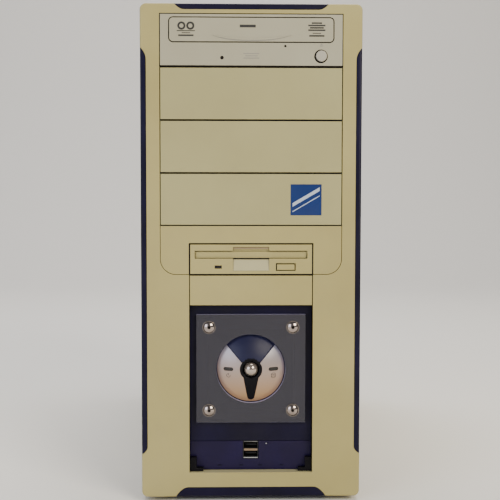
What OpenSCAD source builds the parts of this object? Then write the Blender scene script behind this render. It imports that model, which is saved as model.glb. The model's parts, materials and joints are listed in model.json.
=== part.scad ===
// Midi tower computer case with its drives, boards and power supply.
// Front faces -Y, +X is to the right seen from the front, +Z is up.
// The origin lies on the floor, under the middle of the whole tower.

/* [Bezel] */
// Width of the plastic front
bezel_w = 181; // [179:1:220]
// How far the bezel reaches in front of the steel chassis
bezel_depth = 36; // [34:1:50]
// Corner radius of the bezel's outline
bezel_r = 5; // [2:0.5:8]
// Wall of the bezel's sides
side_wall = 2.5; // [2:0.1:3]
// Wall of the bezel's face
face_wall = 3; // [2.5:0.1:4]
// Height of the bezel's lower edge above the floor
bezel_lift = 4; // [2:0.5:6]
// How far the edge trims reach into the face at the sides
side_trim = 4.8; // [3:0.1:6]
// How far the upper trim reaches into the face
upper_trim = 4.8; // [3:0.1:6]
// How far the lower trim reaches into the face
lower_trim = 8.2; // [4:0.1:10]
// Depth of the trims along the sides of the bezel
trim_depth = 28; // [15:1:30]

/* [Bays] */
// Width of a large drive bay
bay_w = 149.5; // [149:0.1:150.5]
// Spacing of the large bays
bay_pitch = 43; // [42.5:0.1:44]
// Bezel left above the top bay
bay_margin = 8; // [7:0.1:12]
// Width of a small drive bay
small_bay_w = 102; // [101.8:0.1:103]
// Height of a small drive bay
small_bay_h = 25.9; // [25.7:0.1:27]
// Height of the surround above the small bays
surround_strip = 14.5; // [10:0.1:16]
// Height of the control recess
recess_h = 139.1; // [137:0.1:180]
// Height of the sill under the control recess
recess_sill = 20.6; // [14:0.1:24]
// Depth of the control recess
recess_depth = 8; // [7:0.1:12]
// Gap round each cover, trim and button of the front
fit = 0.25; // [0.15:0.05:0.4]

/* [Controls] */
// Side of the square clear plate
plate_size = 90.6; // [84:0.1:96]
// Thickness of the clear plate
plate_t = 4; // [3:0.1:5]
// Distance from the top of the recess to the middle of the plate
plate_drop = 52.8; // [49:0.1:60]
// Distance from the plate's edges to the middle of each screw
screw_inset = 10.55; // [9:0.05:13]
// Diameter of the control dome
dome_d = 56; // [50:0.1:57]
// Height of the control dome above the panel
dome_h = 9; // [6:0.1:10]
// Diameter of the ball on the power button
ball_d = 12.2; // [10:0.1:14]
// How far the ball stands in front of the bezel
ball_proud = 3; // [1:0.1:4]
// Travel of the power button
power_travel = 2; // [1:0.1:3]

/* [Chassis] */
// Depth of the steel chassis
chassis_depth = 393; // [390:1:480]
// Thickness of the steel sheets
sheet = 1; // [0.8:0.1:1.2]
// Height of the chassis floor above the ground
foot_h = 8; // [7:0.5:14]
// Diameter of a foot
foot_d = 24; // [16:1:30]
// How far the thumb screw heads stand behind the chassis
thumb_head = 7; // [5:0.5:9]
// Running gap between pieces that slide or turn
run = 0.3; // [0.2:0.05:0.5]

/* [Drives] */
// Width of the optical drive
optical_w = 146; // [145:0.1:148]
// Height of the optical drive
optical_h = 41.4; // [40:0.1:42]
// Depth of the optical drive behind its bezel
optical_d = 190; // [180:1:200]
// Travel of the disc tray
tray_travel = 135; // [120:1:138]
// Width of a 3.5 inch drive
small_drive_w = 101.4; // [101:0.1:101.8]
// Height of a 3.5 inch drive
small_drive_h = 25.2; // [25:0.1:25.6]
// Depth of a 3.5 inch drive
small_drive_d = 146; // [140:1:150]

/* [Electronics] */
// Height of the motherboard
board_h = 284; // [280:1:290]
// Depth of the motherboard
board_d = 208; // [200:1:230]
// Height of the motherboard above the chassis floor
board_lift = 14; // [12:1:16]
// Width of the power supply
supply_w = 150; // [148:1:152]
// Height of the power supply
supply_h = 86; // [84:1:88]
// Depth of the power supply
supply_d = 140; // [130:1:150]
// Number of expansion slots
slot_count = 6; // [5:1:6]
// Spacing of the expansion slots
slot_pitch = 20.32; // [20:0.01:20.4]

/* [Hidden] */
$fn = 64;
// Places from the front to the back
total_depth = ball_proud + bezel_depth + chassis_depth + thumb_head;
front_y = ball_proud - total_depth / 2;
chassis_y = front_y + bezel_depth;
rear_y = chassis_y + chassis_depth;
inner_rear = rear_y - 2 * sheet;
// Places from the floor to the top
top_z = bezel_lift + recess_sill + recess_h + 2 * small_bay_h + surround_strip + 4 * bay_pitch + bay_margin;
floor_z = foot_h + sheet;
roof_z = top_z - 5;
ceiling_z = roof_z - sheet;
bays_top = top_z - bay_margin;
bays_bottom = bays_top - 4 * bay_pitch;
small_top = bays_bottom - surround_strip;
blank_top = small_top - small_bay_h;
recess_top = blank_top - small_bay_h;
recess_bottom = bezel_lift + recess_sill;
seam_z = recess_bottom + 24.6;
plate_z = recess_top - plate_drop;
// Places across the tower
side_x = bezel_w / 2 - 1;
panel_x = side_x - sheet;
chassis_x = panel_x - run;
return_w = 4;
flange_x = panel_x - return_w - run;
flange_h = 10;
flange_start = chassis_y + 12;
// Ends of the edge trims, and how far they lie behind the bezel's skin
trim_foot = recess_bottom + 15.4;
trim_head = bays_top - 27;
upper_half = bezel_w / 2 - 27.7;
lower_half = bezel_w / 2 - 28.1;
trim_face = 0.4;
trim_slack = 0.1;
// Radius of the inset surround's lower corners
surround_r = 13;
// Covers: how far their face lies back, thickness of face and rim, and depth of the rim
cover_face = 0.3;
cover_skin = 1.9;
cover_wall = 2;
cover_rim = 9;

// A box from its lowest to its highest corner
module block(x0, x1, y0, y1, z0, z1) {
  translate([x0, y0, z0]) cube([x1 - x0, y1 - y0, z1 - z0]);
}

// A box of width w centred on the tower's middle plane
module slab(w, y0, y1, z0, z1) {
  block(-w / 2, w / 2, y0, y1, z0, z1);
}

// Round bars along each axis
module bar_x(y, z, r, x0, x1) {
  translate([x0, y, z]) rotate([0, 90, 0]) cylinder(h = x1 - x0, r = r);
}
module bar_y(x, z, r, y0, y1) {
  translate([x, y1, z]) rotate([90, 0, 0]) cylinder(h = y1 - y0, r = r);
}
module bar_z(x, y, r, z0, z1) {
  translate([x, y, z0]) cylinder(h = z1 - z0, r = r);
}

// Extrudes an outline drawn in X and Z from y0 back to y1
module along_y(y0, y1) {
  translate([0, y1, 0]) rotate([90, 0, 0]) linear_extrude(y1 - y0) children();
}

// Rectangle with round corners of radius r
module round_rect(x0, x1, z0, z1, r) {
  translate([x0 + r, z0]) square([x1 - x0 - 2 * r, z1 - z0]);
  translate([x0, z0 + r]) square([x1 - x0, z1 - z0 - 2 * r]);
  for (x = [x0 + r, x1 - r], z = [z0 + r, z1 - r]) translate([x, z]) circle(r);
}

// Mirrors its children to both sides of the tower
module both_sides() {
  children();
  mirror([1, 0, 0]) children();
}

// Outline of an edge trim: straight on the outer edge from u0 to u1, depth v deep, with curved
// ends of length a and b that run into the straight inner edge
function trim_outline(u0, u1, v, a, b) = concat(
  [for (i = [0 : 6]) let (t = i / 6) [u0 + a * t, v * (1 - pow(1 - t, 2))]],
  [for (i = [6 : -1 : 0]) let (t = i / 6) [u1 - b * t, v * (1 - pow(1 - t, 2))]]
);

module side_outline(g) {
  ends = trim_outline(trim_foot - 3 * g, trim_head + 3 * g, side_trim + 2 * g, 6.5, 10.5);
  translate([-bezel_w / 2 - g, 0]) polygon([for (p = ends) [p[1], p[0]]]);
}

// Bar of a trim, grown by g so that the same bar cuts its notch; face is its depth behind the bezel
module trim_bar(name, g, face) {
  along_y(front_y + face, front_y + trim_depth + g) {
    if (name == "left") side_outline(g);
    if (name == "right") mirror([1, 0]) side_outline(g);
    if (name == "top") translate([0, top_z + g]) mirror([0, 1]) polygon(
      trim_outline(-upper_half - 3 * g, upper_half + 3 * g, upper_trim + 2 * g, 8.5, 8.5));
    if (name == "bottom") translate([0, bezel_lift - g]) polygon(
      trim_outline(-lower_half - 3 * g, lower_half + 3 * g, lower_trim + 2 * g, 10.8, 10.8));
  }
}

// Shallow pan that closes an opening: a face plate with a rim behind it and two clips at the sides
module cover_plate(w, z0, z1) {
  face_y = front_y + cover_face;
  edge_x = w / 2 - fit;
  rim_z = fit + cover_wall;
  difference() {
    slab(2 * edge_x, face_y, face_y + cover_rim, z0 + fit, z1 - fit);
    slab(2 * (edge_x - cover_wall), face_y + cover_skin, face_y + cover_rim + 1, z0 + rim_z, z1 - rim_z);
  }
  both_sides() block(edge_x - cover_wall, edge_x, face_y + cover_rim, chassis_y, z0 + 8, z1 - 8);
}

module bezel_shell() color("#b4a580") {
  difference() {
    union() {
      difference() {
        along_y(front_y, chassis_y) round_rect(-bezel_w / 2, bezel_w / 2, bezel_lift, top_z, bezel_r);
        along_y(front_y + face_wall, chassis_y + 1) round_rect(
          side_wall - bezel_w / 2, bezel_w / 2 - side_wall,
          bezel_lift + side_wall, top_z - side_wall, bezel_r - side_wall / 2);
      }
      // walls of the control recess
      slab(small_bay_w + 4, front_y + 1, front_y + recess_depth + 4, recess_bottom - 2, recess_top);
      // posts that seat on the front frame
      both_sides() for (z = [recess_bottom - 8, recess_bottom + 62, recess_bottom + 132])
        block(bezel_w / 2 - 28.5, bezel_w / 2 - 20.5, front_y + 1, chassis_y, z, z + 6);
    }
    slab(bay_w, front_y - 1, front_y + recess_depth + 6, bays_bottom - surround_strip, bays_top);
    // opening of the inset surround, with round lower corners
    along_y(front_y - 1, front_y + recess_depth) round_rect(
      -bay_w / 2, bay_w / 2, blank_top, bays_bottom + 2 * surround_r, surround_r);
    slab(small_bay_w, front_y - 1, front_y + recess_depth + 6, recess_bottom, bays_bottom);
    for (name = ["left", "right", "top", "bottom"]) trim_bar(name, trim_slack, -1);
  }
}

module drive_surround() color("#b4a580") difference() {
  along_y(front_y + 0.2, front_y + recess_depth - 1) round_rect(
    fit - bay_w / 2, bay_w / 2 - fit, blank_top + fit, bays_bottom + 2 * surround_r, surround_r - fit);
  along_y(front_y + face_wall, front_y + recess_depth) round_rect(
    fit + 2 - bay_w / 2, bay_w / 2 - fit - 2,
    blank_top + fit + 2, bays_bottom - fit / 2 - 2, surround_r - 2 - fit);
  slab(bay_w, front_y - 1, front_y + recess_depth, bays_bottom - fit / 2, bays_bottom + 2 * surround_r + 1);
  slab(small_bay_w + 0.1, front_y - 1, front_y + recess_depth, blank_top - 1, small_top);
}

module trim_left() color("#1c1a2d") trim_bar("left", 0, trim_face);
module trim_right() color("#1c1a2d") trim_bar("right", 0, trim_face);
module trim_top() color("#30314a") trim_bar("top", 0, trim_face);
module trim_bottom() color("#1c1a2d") trim_bar("bottom", 0, trim_face);

module large_cover(i) {
  z = bays_top - (i + 1) * bay_pitch;
  color("#b2ab90") cover_plate(bay_w, z, z + bay_pitch);
}
module bay_cover_upper() large_cover(1);
module bay_cover_middle() large_cover(2);
module bay_cover_lower() large_cover(3);
module small_bay_cover() color("#b3a885") cover_plate(small_bay_w, recess_top, blank_top);

// Control recess

// Screw places of the clear plate
screw_x = plate_size / 2 - screw_inset;
function plate_corners() = [for (x = [-1, 1], z = [-1, 1]) [x * screw_x, plate_z + z * screw_x]];
screw_r = 1.5;
screw_hole_r = 1.7;
dome_gap = 0.8;
panel_t = 2.5;
panel_y = front_y + recess_depth;
ball_y = front_y - ball_proud + ball_d / 2;
stem_r = 3;

module control_panel() color("#1d1a2a") difference() {
  slab(small_bay_w - 2 * fit, panel_y, panel_y + panel_t, seam_z + fit / 2, recess_top - fit);
  bar_y(0, plate_z, stem_r + 0.5, panel_y - 1, panel_y + panel_t + 1);
  for (p = plate_corners()) bar_y(p[0], p[1], screw_hole_r, panel_y - 1, panel_y + panel_t + 1);
}

port_w = 12.5;
port_h = 14.7;
port_z = recess_bottom + 17;
port_pitch = 7.2;
lug_reach = 5;

module usb_panel() color("#1f182e") {
  difference() {
    slab(small_bay_w - 2 * fit, panel_y, panel_y + panel_t, recess_bottom + fit, seam_z - fit / 2);
    slab(port_w + 2 * run, panel_y - 1, panel_y + panel_t + 1,
      port_z - port_h / 2 - run, seam_z);
  }
  // hinge sockets for a drop-down flap
  lug_x = small_bay_w / 2 - 5.8;
  lug_z = recess_bottom + fit;
  both_sides() {
    block(lug_x, small_bay_w / 2 - fit, panel_y - lug_reach, panel_y, lug_z, recess_bottom + 12);
    block(lug_x - 5.7, lug_x, panel_y - lug_reach, panel_y, lug_z, recess_bottom + 3.2);
  }
}

module usb_ports() color("silver") difference() {
  slab(port_w, panel_y + 0.5, panel_y + 18, port_z - port_h / 2, port_z + port_h / 2);
  for (z = [port_z - port_pitch / 2, port_z + port_pitch / 2]) difference() {
    slab(port_w - 1, panel_y, panel_y + 12, z - 2.6, z + 2.6);
    slab(port_w - 3, panel_y + 2, panel_y + 13, z - 0.4, z + 1.4);
  }
}

module acrylic_plate() color("#3a3944") difference() {
  slab(plate_size, panel_y - plate_t, panel_y, plate_z - plate_size / 2, plate_z + plate_size / 2);
  bar_y(0, plate_z, dome_d / 2 + dome_gap, panel_y - plate_t - 1, panel_y + 1);
  for (p = plate_corners()) bar_y(p[0], p[1], screw_hole_r, panel_y - plate_t - 1, panel_y + 1);
}

module plate_screws() color("#d8d8d8") for (p = plate_corners()) {
  translate([p[0], panel_y - plate_t, p[1]]) rotate([90, 0, 0]) difference() {
    union() {
      cylinder(h = 1, r = 5.2);
      intersection() {
        cylinder(h = 3, r = 4.3);
        translate([0, 0, 2.6 - 7]) sphere(7);
      }
    }
    translate([0, 0, 1.6]) cylinder(h = 2, r = 1.4, $fn = 6);
  }
  bar_y(p[0], p[1], screw_r, panel_y - plate_t, panel_y + panel_t + 4);
}

// Spherical cap of the dome, its skin lowered by s
cap_r = (pow(dome_d / 2, 2) + pow(dome_h, 2)) / (2 * dome_h);
module dome_cap(s) {
  intersection() {
    bar_y(0, plate_z, dome_d / 2 - (s > 0 ? 0.6 : 0), panel_y - dome_h - 1, panel_y);
    translate([0, panel_y - dome_h + cap_r, plate_z]) sphere(cap_r - s, $fn = 240);
  }
}

hub_r = 9.2;
wing_skin = 1.2;
wing_over = 1;
// Angle of the wings' upper edges from straight up
wing_fold = 42;
// How far below the hub's middle those edges meet
wing_apex = 2.9;
// Spike between the wings: half its width at the hub, radius of its tip and depth of the tip's middle
spike_w = 6.2;
spike_tip = 3;
spike_z = dome_d / 2 - 4.5;
// Prism of the silver wings, shrunk by g: all round the hub but the upper sector and the spike
module wing_prism(g) {
  along_y(panel_y - dome_h - 2, panel_y + 1) translate([0, plate_z]) difference() {
    circle(dome_d / 2 + wing_over);
    circle(hub_r + g);
    sector_x = (dome_d + wing_apex) * tan(wing_fold) + 2 * g;
    polygon([[0, -wing_apex - g], [sector_x, dome_d], [-sector_x, dome_d]]);
    polygon(concat(
      [[-spike_w - g, 0], [-spike_w - g, -7]],
      [for (a = [180 : 20 : 360]) [(spike_tip + g) * cos(a), (spike_tip + g) * sin(a) - spike_z]],
      [[spike_w + g, -7], [spike_w + g, 0]]));
  }
}

// Slots for the indicator lenses, grown by g
led_x = dome_d / 2 - 9.3;
led_w = 5;
led_r = 1.5;
module led_slots(g) {
  for (x = [-led_x, led_x]) along_y(panel_y - dome_h - 2, panel_y + 1) {
    translate([x - led_w / 2, plate_z - led_r - g]) square([led_w, 2 * (led_r + g)]);
    for (e = [-led_w / 2, led_w / 2]) translate([x + e, plate_z]) circle(led_r + g);
  }
}

module control_dome() color("#272840") difference() {
  union() {
    difference() {
      dome_cap(0);
      wing_prism(0);
    }
    difference() {
      dome_cap(wing_skin);
      bar_y(0, plate_z, hub_r - 1, panel_y - dome_h - 1, panel_y - 1.5);
    }
  }
  bar_y(0, plate_z, ball_d / 2 + 0.6, panel_y - dome_h - 2, panel_y - 1.5);
  bar_y(0, plate_z, stem_r + 0.5, panel_y - 2, panel_y + 1);
  led_slots(0.05);
}

module dome_wings() color("#a8a29c") difference() {
  intersection() {
    dome_cap(0);
    wing_prism(0.05);
  }
  dome_cap(wing_skin);
  led_slots(0.05);
}

module indicator_lenses() color("#5a5048") intersection() {
  dome_cap(0.5);
  led_slots(0);
}

module power_button() color("#e0e0e0") {
  intersection() {
    translate([0, ball_y, plate_z]) sphere(ball_d / 2);
    bar_y(0, plate_z, ball_d, front_y - ball_d, ball_y + 1);
  }
  bar_y(0, plate_z, stem_r, ball_y, panel_y + panel_t + 6);
  bar_y(0, plate_z, stem_r + 2, panel_y + panel_t + 2.2, panel_y + panel_t + 6);
}

// Steel chassis

// Screw places of the side panels, and of the base and roof they hook behind
thumb_x = side_x - 7.5;
thumb_z = [floor_z + 55, ceiling_z - 55];
return_low = floor_z + run;
return_high = ceiling_z - run - sheet;
tray_x = panel_x - 10.5;
cage_x = optical_w / 2 + run;
small_cage_x = small_drive_w / 2 + run;
cage_depth = 175;
small_cage_z = small_top - 95;

module base_pan() color("#9a9da1") {
  slab(2 * chassis_x, chassis_y, inner_rear, foot_h, floor_z);
  both_sides() block(flange_x - sheet, flange_x, flange_start, inner_rear, floor_z, floor_z + flange_h);
}

module top_cover() color("#9a9da1") {
  slab(2 * chassis_x, chassis_y, inner_rear + sheet, ceiling_z, roof_z);
  both_sides() block(flange_x - sheet, flange_x, flange_start, inner_rear, ceiling_z - flange_h, ceiling_z);
}

module front_frame() color("#9a9da1") difference() {
  union() {
    slab(2 * chassis_x, chassis_y, chassis_y + sheet, floor_z, ceiling_z);
    both_sides() block(chassis_x - sheet, chassis_x, chassis_y, chassis_y + 10, floor_z, ceiling_z);
  }
  slab(2 * cage_x, chassis_y - 1, chassis_y + 2, bays_bottom, bays_top);
  slab(2 * small_cage_x, chassis_y - 1, chassis_y + 2, small_cage_z + sheet, bays_bottom - sheet - 1);
  // air slots low down and a pass for the front leads
  for (x = [-50 : 20 : 50], z = [floor_z + 31, floor_z + 45])
    block(x - 7, x + 7, chassis_y - 1, chassis_y + 2, z, z + 6);
  slab(24, chassis_y - 1, chassis_y + 2, small_cage_z - 25, small_cage_z - 8);
}

module large_drive_cage() color("#a4a7ab") difference() {
  slab(2 * (cage_x + sheet), chassis_y + sheet, chassis_y + cage_depth, bays_bottom - sheet, ceiling_z);
  slab(2 * cage_x, chassis_y, chassis_y + cage_depth + 1, bays_bottom, ceiling_z - sheet);
  for (i = [0 : 3], y = [30, 110]) translate([0, 0, bays_bottom + i * bay_pitch + 20])
    slab(2 * cage_x + 10, chassis_y + y, chassis_y + y + 24, -2, 2);
}

module small_drive_cage() color("#a4a7ab") difference() {
  back = chassis_y + small_drive_d + 4;
  slab(2 * (small_cage_x + sheet), chassis_y + sheet, back, small_cage_z, bays_bottom - sheet);
  slab(2 * small_cage_x, chassis_y, back + 1, small_cage_z + sheet, bays_bottom - sheet + 1);
  for (z = [12, 50, 76], y = [30, 90]) translate([0, 0, small_cage_z + z])
    slab(2 * small_cage_x + 10, chassis_y + y, chassis_y + y + 24, 0, 4);
}

module board_tray() color("#a4a7ab") {
  block(tray_x, tray_x + sheet, inner_rear - board_d - 12, inner_rear, floor_z, ceiling_z);
  block(tray_x - 8, tray_x, inner_rear - board_d - 12, inner_rear - 20, floor_z, floor_z + sheet);
  // standoffs under the board
  for (y = [14, board_d / 2, board_d - 8], z = [16, board_h / 2, board_h - 10])
    bar_x(inner_rear - y, board_z + z, 2.5, board_x, tray_x);
}

// Places of the board, the power supply and the rear panel's openings

board_t = 1.6;
board_x = tray_x - 6;
face_x = board_x - board_t;
board_z = floor_z + board_lift;
board_y = inner_rear - 2;
supply_z = ceiling_z - 1 - supply_h;
supply_mid = supply_z + supply_h / 2;
supply_fan_x = -26;
inlet_x = 50;
inlet_z = supply_mid + 16;
rocker_z = supply_mid - 20;
// Rear sockets as [height above the board's lower edge, length, reach from the board]
ports = [[126, 15, 13], [144, 15, 13], [162, 15, 13], [184, 54, 22], [243, 15, 16], [263, 15, 26]];
port_lip = 3;
slots_top = board_z + 106;
// Sides of the expansion cards' brackets
bracket_x0 = face_x - 118.4;
bracket_x1 = face_x - 4.4;
bracket_h = 18.4;
bracket_t = 0.9;
function slot_z(i) = slots_top - i * slot_pitch;
vent_x = -28;
vent_z = board_z + 204;
vent_pitch = 71.5;

module rear_panel() color("#a0a3a7") difference() {
  union() {
    slab(2 * chassis_x, inner_rear, inner_rear + sheet, return_low + sheet + run, return_high - run);
    slab(2 * (flange_x - sheet), inner_rear, inner_rear + sheet, foot_h, ceiling_z);
    slab(2 * (tray_x - 14), inner_rear - 10, inner_rear, floor_z, floor_z + sheet);
  }
  slab(supply_w - 10, inner_rear - 1, inner_rear + 2, supply_z + 5, supply_z + supply_h - 5);
  for (p = ports) block(face_x - p[2] - 0.4, face_x + 0.6, inner_rear - 1, inner_rear + 2,
    board_z + p[0] - 0.4, board_z + p[0] + p[1] + 0.4);
  for (i = [0 : slot_count - 1])
    block(bracket_x0 + 4, bracket_x1 - 2, inner_rear - 1, inner_rear + 2, slot_z(i) - 6, slot_z(i) + 6);
  // air vent with the hole pattern of an 80 mm fan
  for (i = [-4 : 4]) let (w = sqrt(36 * 36 - 64 * i * i)) block(vent_x - w, vent_x + w,
    inner_rear - 1, inner_rear + 2, vent_z + 8 * i - 2.5, vent_z + 8 * i + 2.5);
  for (x = [-1, 1], z = [-1, 1]) bar_y(vent_x + x * vent_pitch / 2, vent_z + z * vent_pitch / 2,
    2.25, inner_rear - 1, inner_rear + 2);
  both_sides() for (z = thumb_z) bar_y(thumb_x, z, 2.3, inner_rear - 1, inner_rear + 2);
}

module bracket(i) block(bracket_x0, bracket_x1, inner_rear - bracket_t, inner_rear,
  slot_z(i) - bracket_h / 2, slot_z(i) + bracket_h / 2);

module slot_covers() color("#b5b8bb") for (i = [1 : slot_count - 1]) bracket(i);

module side_panel() color("#b3ab95") difference() {
  union() {
    block(panel_x, side_x, chassis_y + run, rear_y, foot_h, roof_z);
    for (z = [return_low, return_high])
      block(panel_x - return_w, panel_x, flange_start, inner_rear, z, z + sheet);
    block(side_x - 14, side_x, rear_y - sheet, rear_y, foot_h + 4, roof_z - 4);
  }
  for (z = thumb_z) bar_y(thumb_x, z, 2.2, rear_y - 2, rear_y + 1);
}
module right_side_panel() side_panel();
module left_side_panel() mirror([1, 0, 0]) side_panel();

module thumb_screws() color("#c8c8c8") for (z = thumb_z) {
  bar_y(thumb_x, z, 1.9, rear_y - 9, rear_y);
  difference() {
    bar_y(thumb_x, z, 6.6, rear_y, rear_y + thumb_head);
    for (a = [0 : 20 : 340]) translate([thumb_x + 7.1 * cos(a), 0, z + 7.1 * sin(a)])
      bar_y(0, 0, 0.9, rear_y + 1.5, rear_y + thumb_head + 1);
  }
}
module right_thumb_screws() thumb_screws();
module left_thumb_screws() mirror([1, 0, 0]) thumb_screws();

module feet() color("#26262a") for (x = [-1, 1], y = [chassis_y + 30, inner_rear - 30])
  bar_z(x * (chassis_x - 24), y, foot_d / 2, 0, foot_h);

// Optical drive in the top bay

optical_z = bays_top - bay_pitch / 2 - optical_h / 2;
optical_y = front_y + 5;
door_z = bays_top - 13.1;
door_w = 134.2;
door_h = 20;
door_r = 3.5;
door_gap = 0.4;
button_r = 4.5;
button_x = 57;
button_z = bays_top - 34;
tray_y = front_y + 3;
tray_len = 162;
tray_w = 128;
tray_z = bays_top - 18;
disc_y = tray_y + 66;
deck_z = tray_z - 14;
gear_x = 30;
gear_y = front_y + 25;
gear_teeth = 18;
gear_r = 9;
tooth_pitch = 2 * PI * gear_r / gear_teeth;

module optical_case() color("#b9bbbd") {
  difference() {
    slab(optical_w, optical_y, optical_y + optical_d, optical_z, optical_z + optical_h);
    slab(optical_w - 2, optical_y - 1, optical_y + optical_d - 1, optical_z + 1, optical_z + optical_h - 1);
  }
  // deck with the gear post, the sled rails and the tray guides
  slab(optical_w - 2, optical_y + 10, optical_y + optical_d - 1, deck_z, deck_z + 2);
  bar_z(gear_x, gear_y, 1.7, deck_z + 2, tray_z - 0.3);
  both_sides() {
    block(9, 12, disc_y + 20, disc_y + 90, deck_z + 2, deck_z + 4.7);
    block(61, optical_w / 2 - 1, optical_y + 2, optical_y + optical_d - 1, deck_z + 2, tray_z - 0.3);
    block(tray_w / 2 + 0.4, optical_w / 2 - 1, optical_y + 2, optical_y + optical_d - 1,
      tray_z - 0.3, tray_z + 6);
  }
}

// Outline of the tray door, grown by g
module door_outline(g) round_rect(-door_w / 2 - g, door_w / 2 + g,
  door_z - door_h / 2 - g, door_z + door_h / 2 + g, door_r + g);

module optical_bezel() color("#aeaba0") difference() {
  slab(bay_w - 2 * fit, front_y, optical_y, bays_top - bay_pitch + fit, bays_top - fit);
  along_y(front_y - 1, optical_y + 1) door_outline(door_gap);
  bar_y(button_x, button_z, button_r + door_gap, front_y - 1, optical_y + 1);
  // lamp and emergency hole
  bar_y(-23.9, bays_top - 35.6, 1.5, front_y - 1, front_y + 3);
  bar_y(27.6, bays_top - 26.1, 0.8, front_y - 1, optical_y + 1);
}

module tray_door() color("#b6b3a9") along_y(front_y - door_gap, tray_y) door_outline(0);

module disc_tray() color("#2c2c2e") {
  difference() {
    slab(tray_w, tray_y, tray_y + tray_len, tray_z, tray_z + 8);
    bar_z(0, disc_y, 60.5, tray_z + 3.5, tray_z + 9);
    bar_z(0, disc_y, 41, tray_z + 2, tray_z + 9);
    slab(40, disc_y - 20, tray_y + tray_len + 1, tray_z - 1, tray_z + 9);
  }
  // toothed rack under the right half
  translate([gear_x + gear_r, gear_y, tray_z - 3.2]) linear_extrude(3.2) polygon(concat(
    [[3, tray_travel + 6], [3, -6], [1.1, -6]],
    [for (k = [-1 : floor(tray_travel / tooth_pitch)]) each [
      [1.1, (k + 0.5) * tooth_pitch - 0.9], [-0.7, (k + 0.5) * tooth_pitch - 0.4],
      [-0.7, (k + 0.5) * tooth_pitch + 0.4], [1.1, (k + 0.5) * tooth_pitch + 0.9]]],
    [[1.1, tray_travel + 6]]));
}

module tray_gear() color("white") translate([gear_x, gear_y, tray_z - 3.4]) difference() {
  linear_extrude(3) union() {
    circle(gear_r - 1.2);
    for (i = [0 : gear_teeth - 1]) rotate(i * 360 / gear_teeth)
      polygon([[gear_r - 2, -0.95], [gear_r + 0.7, -0.35], [gear_r + 0.7, 0.35], [gear_r - 2, 0.95]]);
  }
  translate([0, 0, -1]) cylinder(h = 6, r = 2);
}

module disc_spindle() color("#707276") translate([0, disc_y, 0]) {
  bar_z(0, 0, 2, deck_z + 2.1, tray_z - 6);
  bar_z(0, 0, 14.5, tray_z - 6, tray_z + 2.6);
  bar_z(0, 0, 7.4, tray_z + 2.6, tray_z + 5);
}

sled_travel = 34;
module laser_sled() color("#4a4b50") {
  slab(30, disc_y + 22, disc_y + 50, deck_z + 5, deck_z + 11);
  bar_z(0, disc_y + 34, 4, deck_z + 11, deck_z + 12.5);
}

module optical_button() color("#b6b3a9") bar_y(button_x, button_z, button_r, front_y - 1.4, front_y + 10);

// Floppy drive in the first small bay

floppy_mid = small_top - small_bay_h / 2;
floppy_y = front_y + 5;
slot_mid = floppy_mid + 3.6;
slot_half = 3.1;
flap_z = slot_mid + slot_half - 1.1;
flap_y = front_y + 2.6;
eject_x = 28.5;
eject_z = floppy_mid - 6.6;
eject_w = 15.2;
eject_h = 5.3;

module floppy_case() color("#b9bbbd") translate([0, 0, floppy_mid]) difference() {
  slab(small_drive_w, floppy_y, floppy_y + small_drive_d, -small_drive_h / 2, small_drive_h / 2);
  slab(small_drive_w - 2, floppy_y - 1, floppy_y + small_drive_d - 1,
    1 - small_drive_h / 2, small_drive_h / 2 - 1);
}

module floppy_bezel() color("#b1a88a") difference() {
  slab(small_bay_w - 2 * fit, front_y + 0.3, floppy_y, small_top - small_bay_h + fit, small_top - fit);
  slab(92.4, front_y - 1, floppy_y + 1, slot_mid - slot_half, slot_mid + slot_half);
  // finger scoop across the slot
  slab(29.4, front_y - 1, front_y + 1.8, floppy_mid - 9.8, floppy_mid + 9.8);
  block(eject_x - eject_w / 2 - 0.4, eject_x + eject_w / 2 + 0.4, front_y - 1, floppy_y + 1,
    eject_z - eject_h / 2 - 0.35, eject_z + eject_h / 2 + 0.35);
  // window of the lamp
  block(-29.9, -24.3, front_y - 1, floppy_y + 1, eject_z - 1.2, eject_z + 1.2);
  bar_x(flap_y, flap_z, 1, -48, 48);
}

module floppy_flap() color("#a89f82") {
  slab(91.8, flap_y - 0.6, flap_y + 0.6, slot_mid - slot_half + 0.3, flap_z);
  bar_x(flap_y, flap_z, 0.75, -47.6, 47.6);
}

module floppy_button() color("#b6ad90") block(eject_x - eject_w / 2, eject_x + eject_w / 2,
  front_y - 0.5, front_y + 9, eject_z - eject_h / 2, eject_z + eject_h / 2);

// Hard disk: cast body, raised lid and the motor's round cap
module hard_disk() color("#8f9295") translate([0, chassis_y, small_cage_z + sheet]) {
  lid_z = small_drive_h - 2;
  slab(small_drive_w, 10, 10 + small_drive_d, 0, lid_z);
  slab(small_drive_w - 8, 14, 100, lid_z, small_drive_h);
  bar_z(0, 60, 12, small_drive_h, small_drive_h + 0.8);
}

// Motherboard and what stands on it

board_front = board_y - board_d;
cpu_y = board_y - 92;
cpu_z = board_z + 210;
// Middle of the ribbon sockets and of the supply plug, and the ribbon sockets' lower ends
lead_y = board_front + 8.5;
plug_y = board_front + 63;
lead_z = [board_z + 60, board_z + 118];
ribbon_x = face_x - 9;
sink_x = face_x - 5;

module motherboard() color("#2f6b45")
  block(face_x, board_x, board_y - board_d, board_y, board_z, board_z + board_h);

// Height of card i's sheet, which stands in socket i
function card_z(i) = slot_z(i) - 7;

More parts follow.
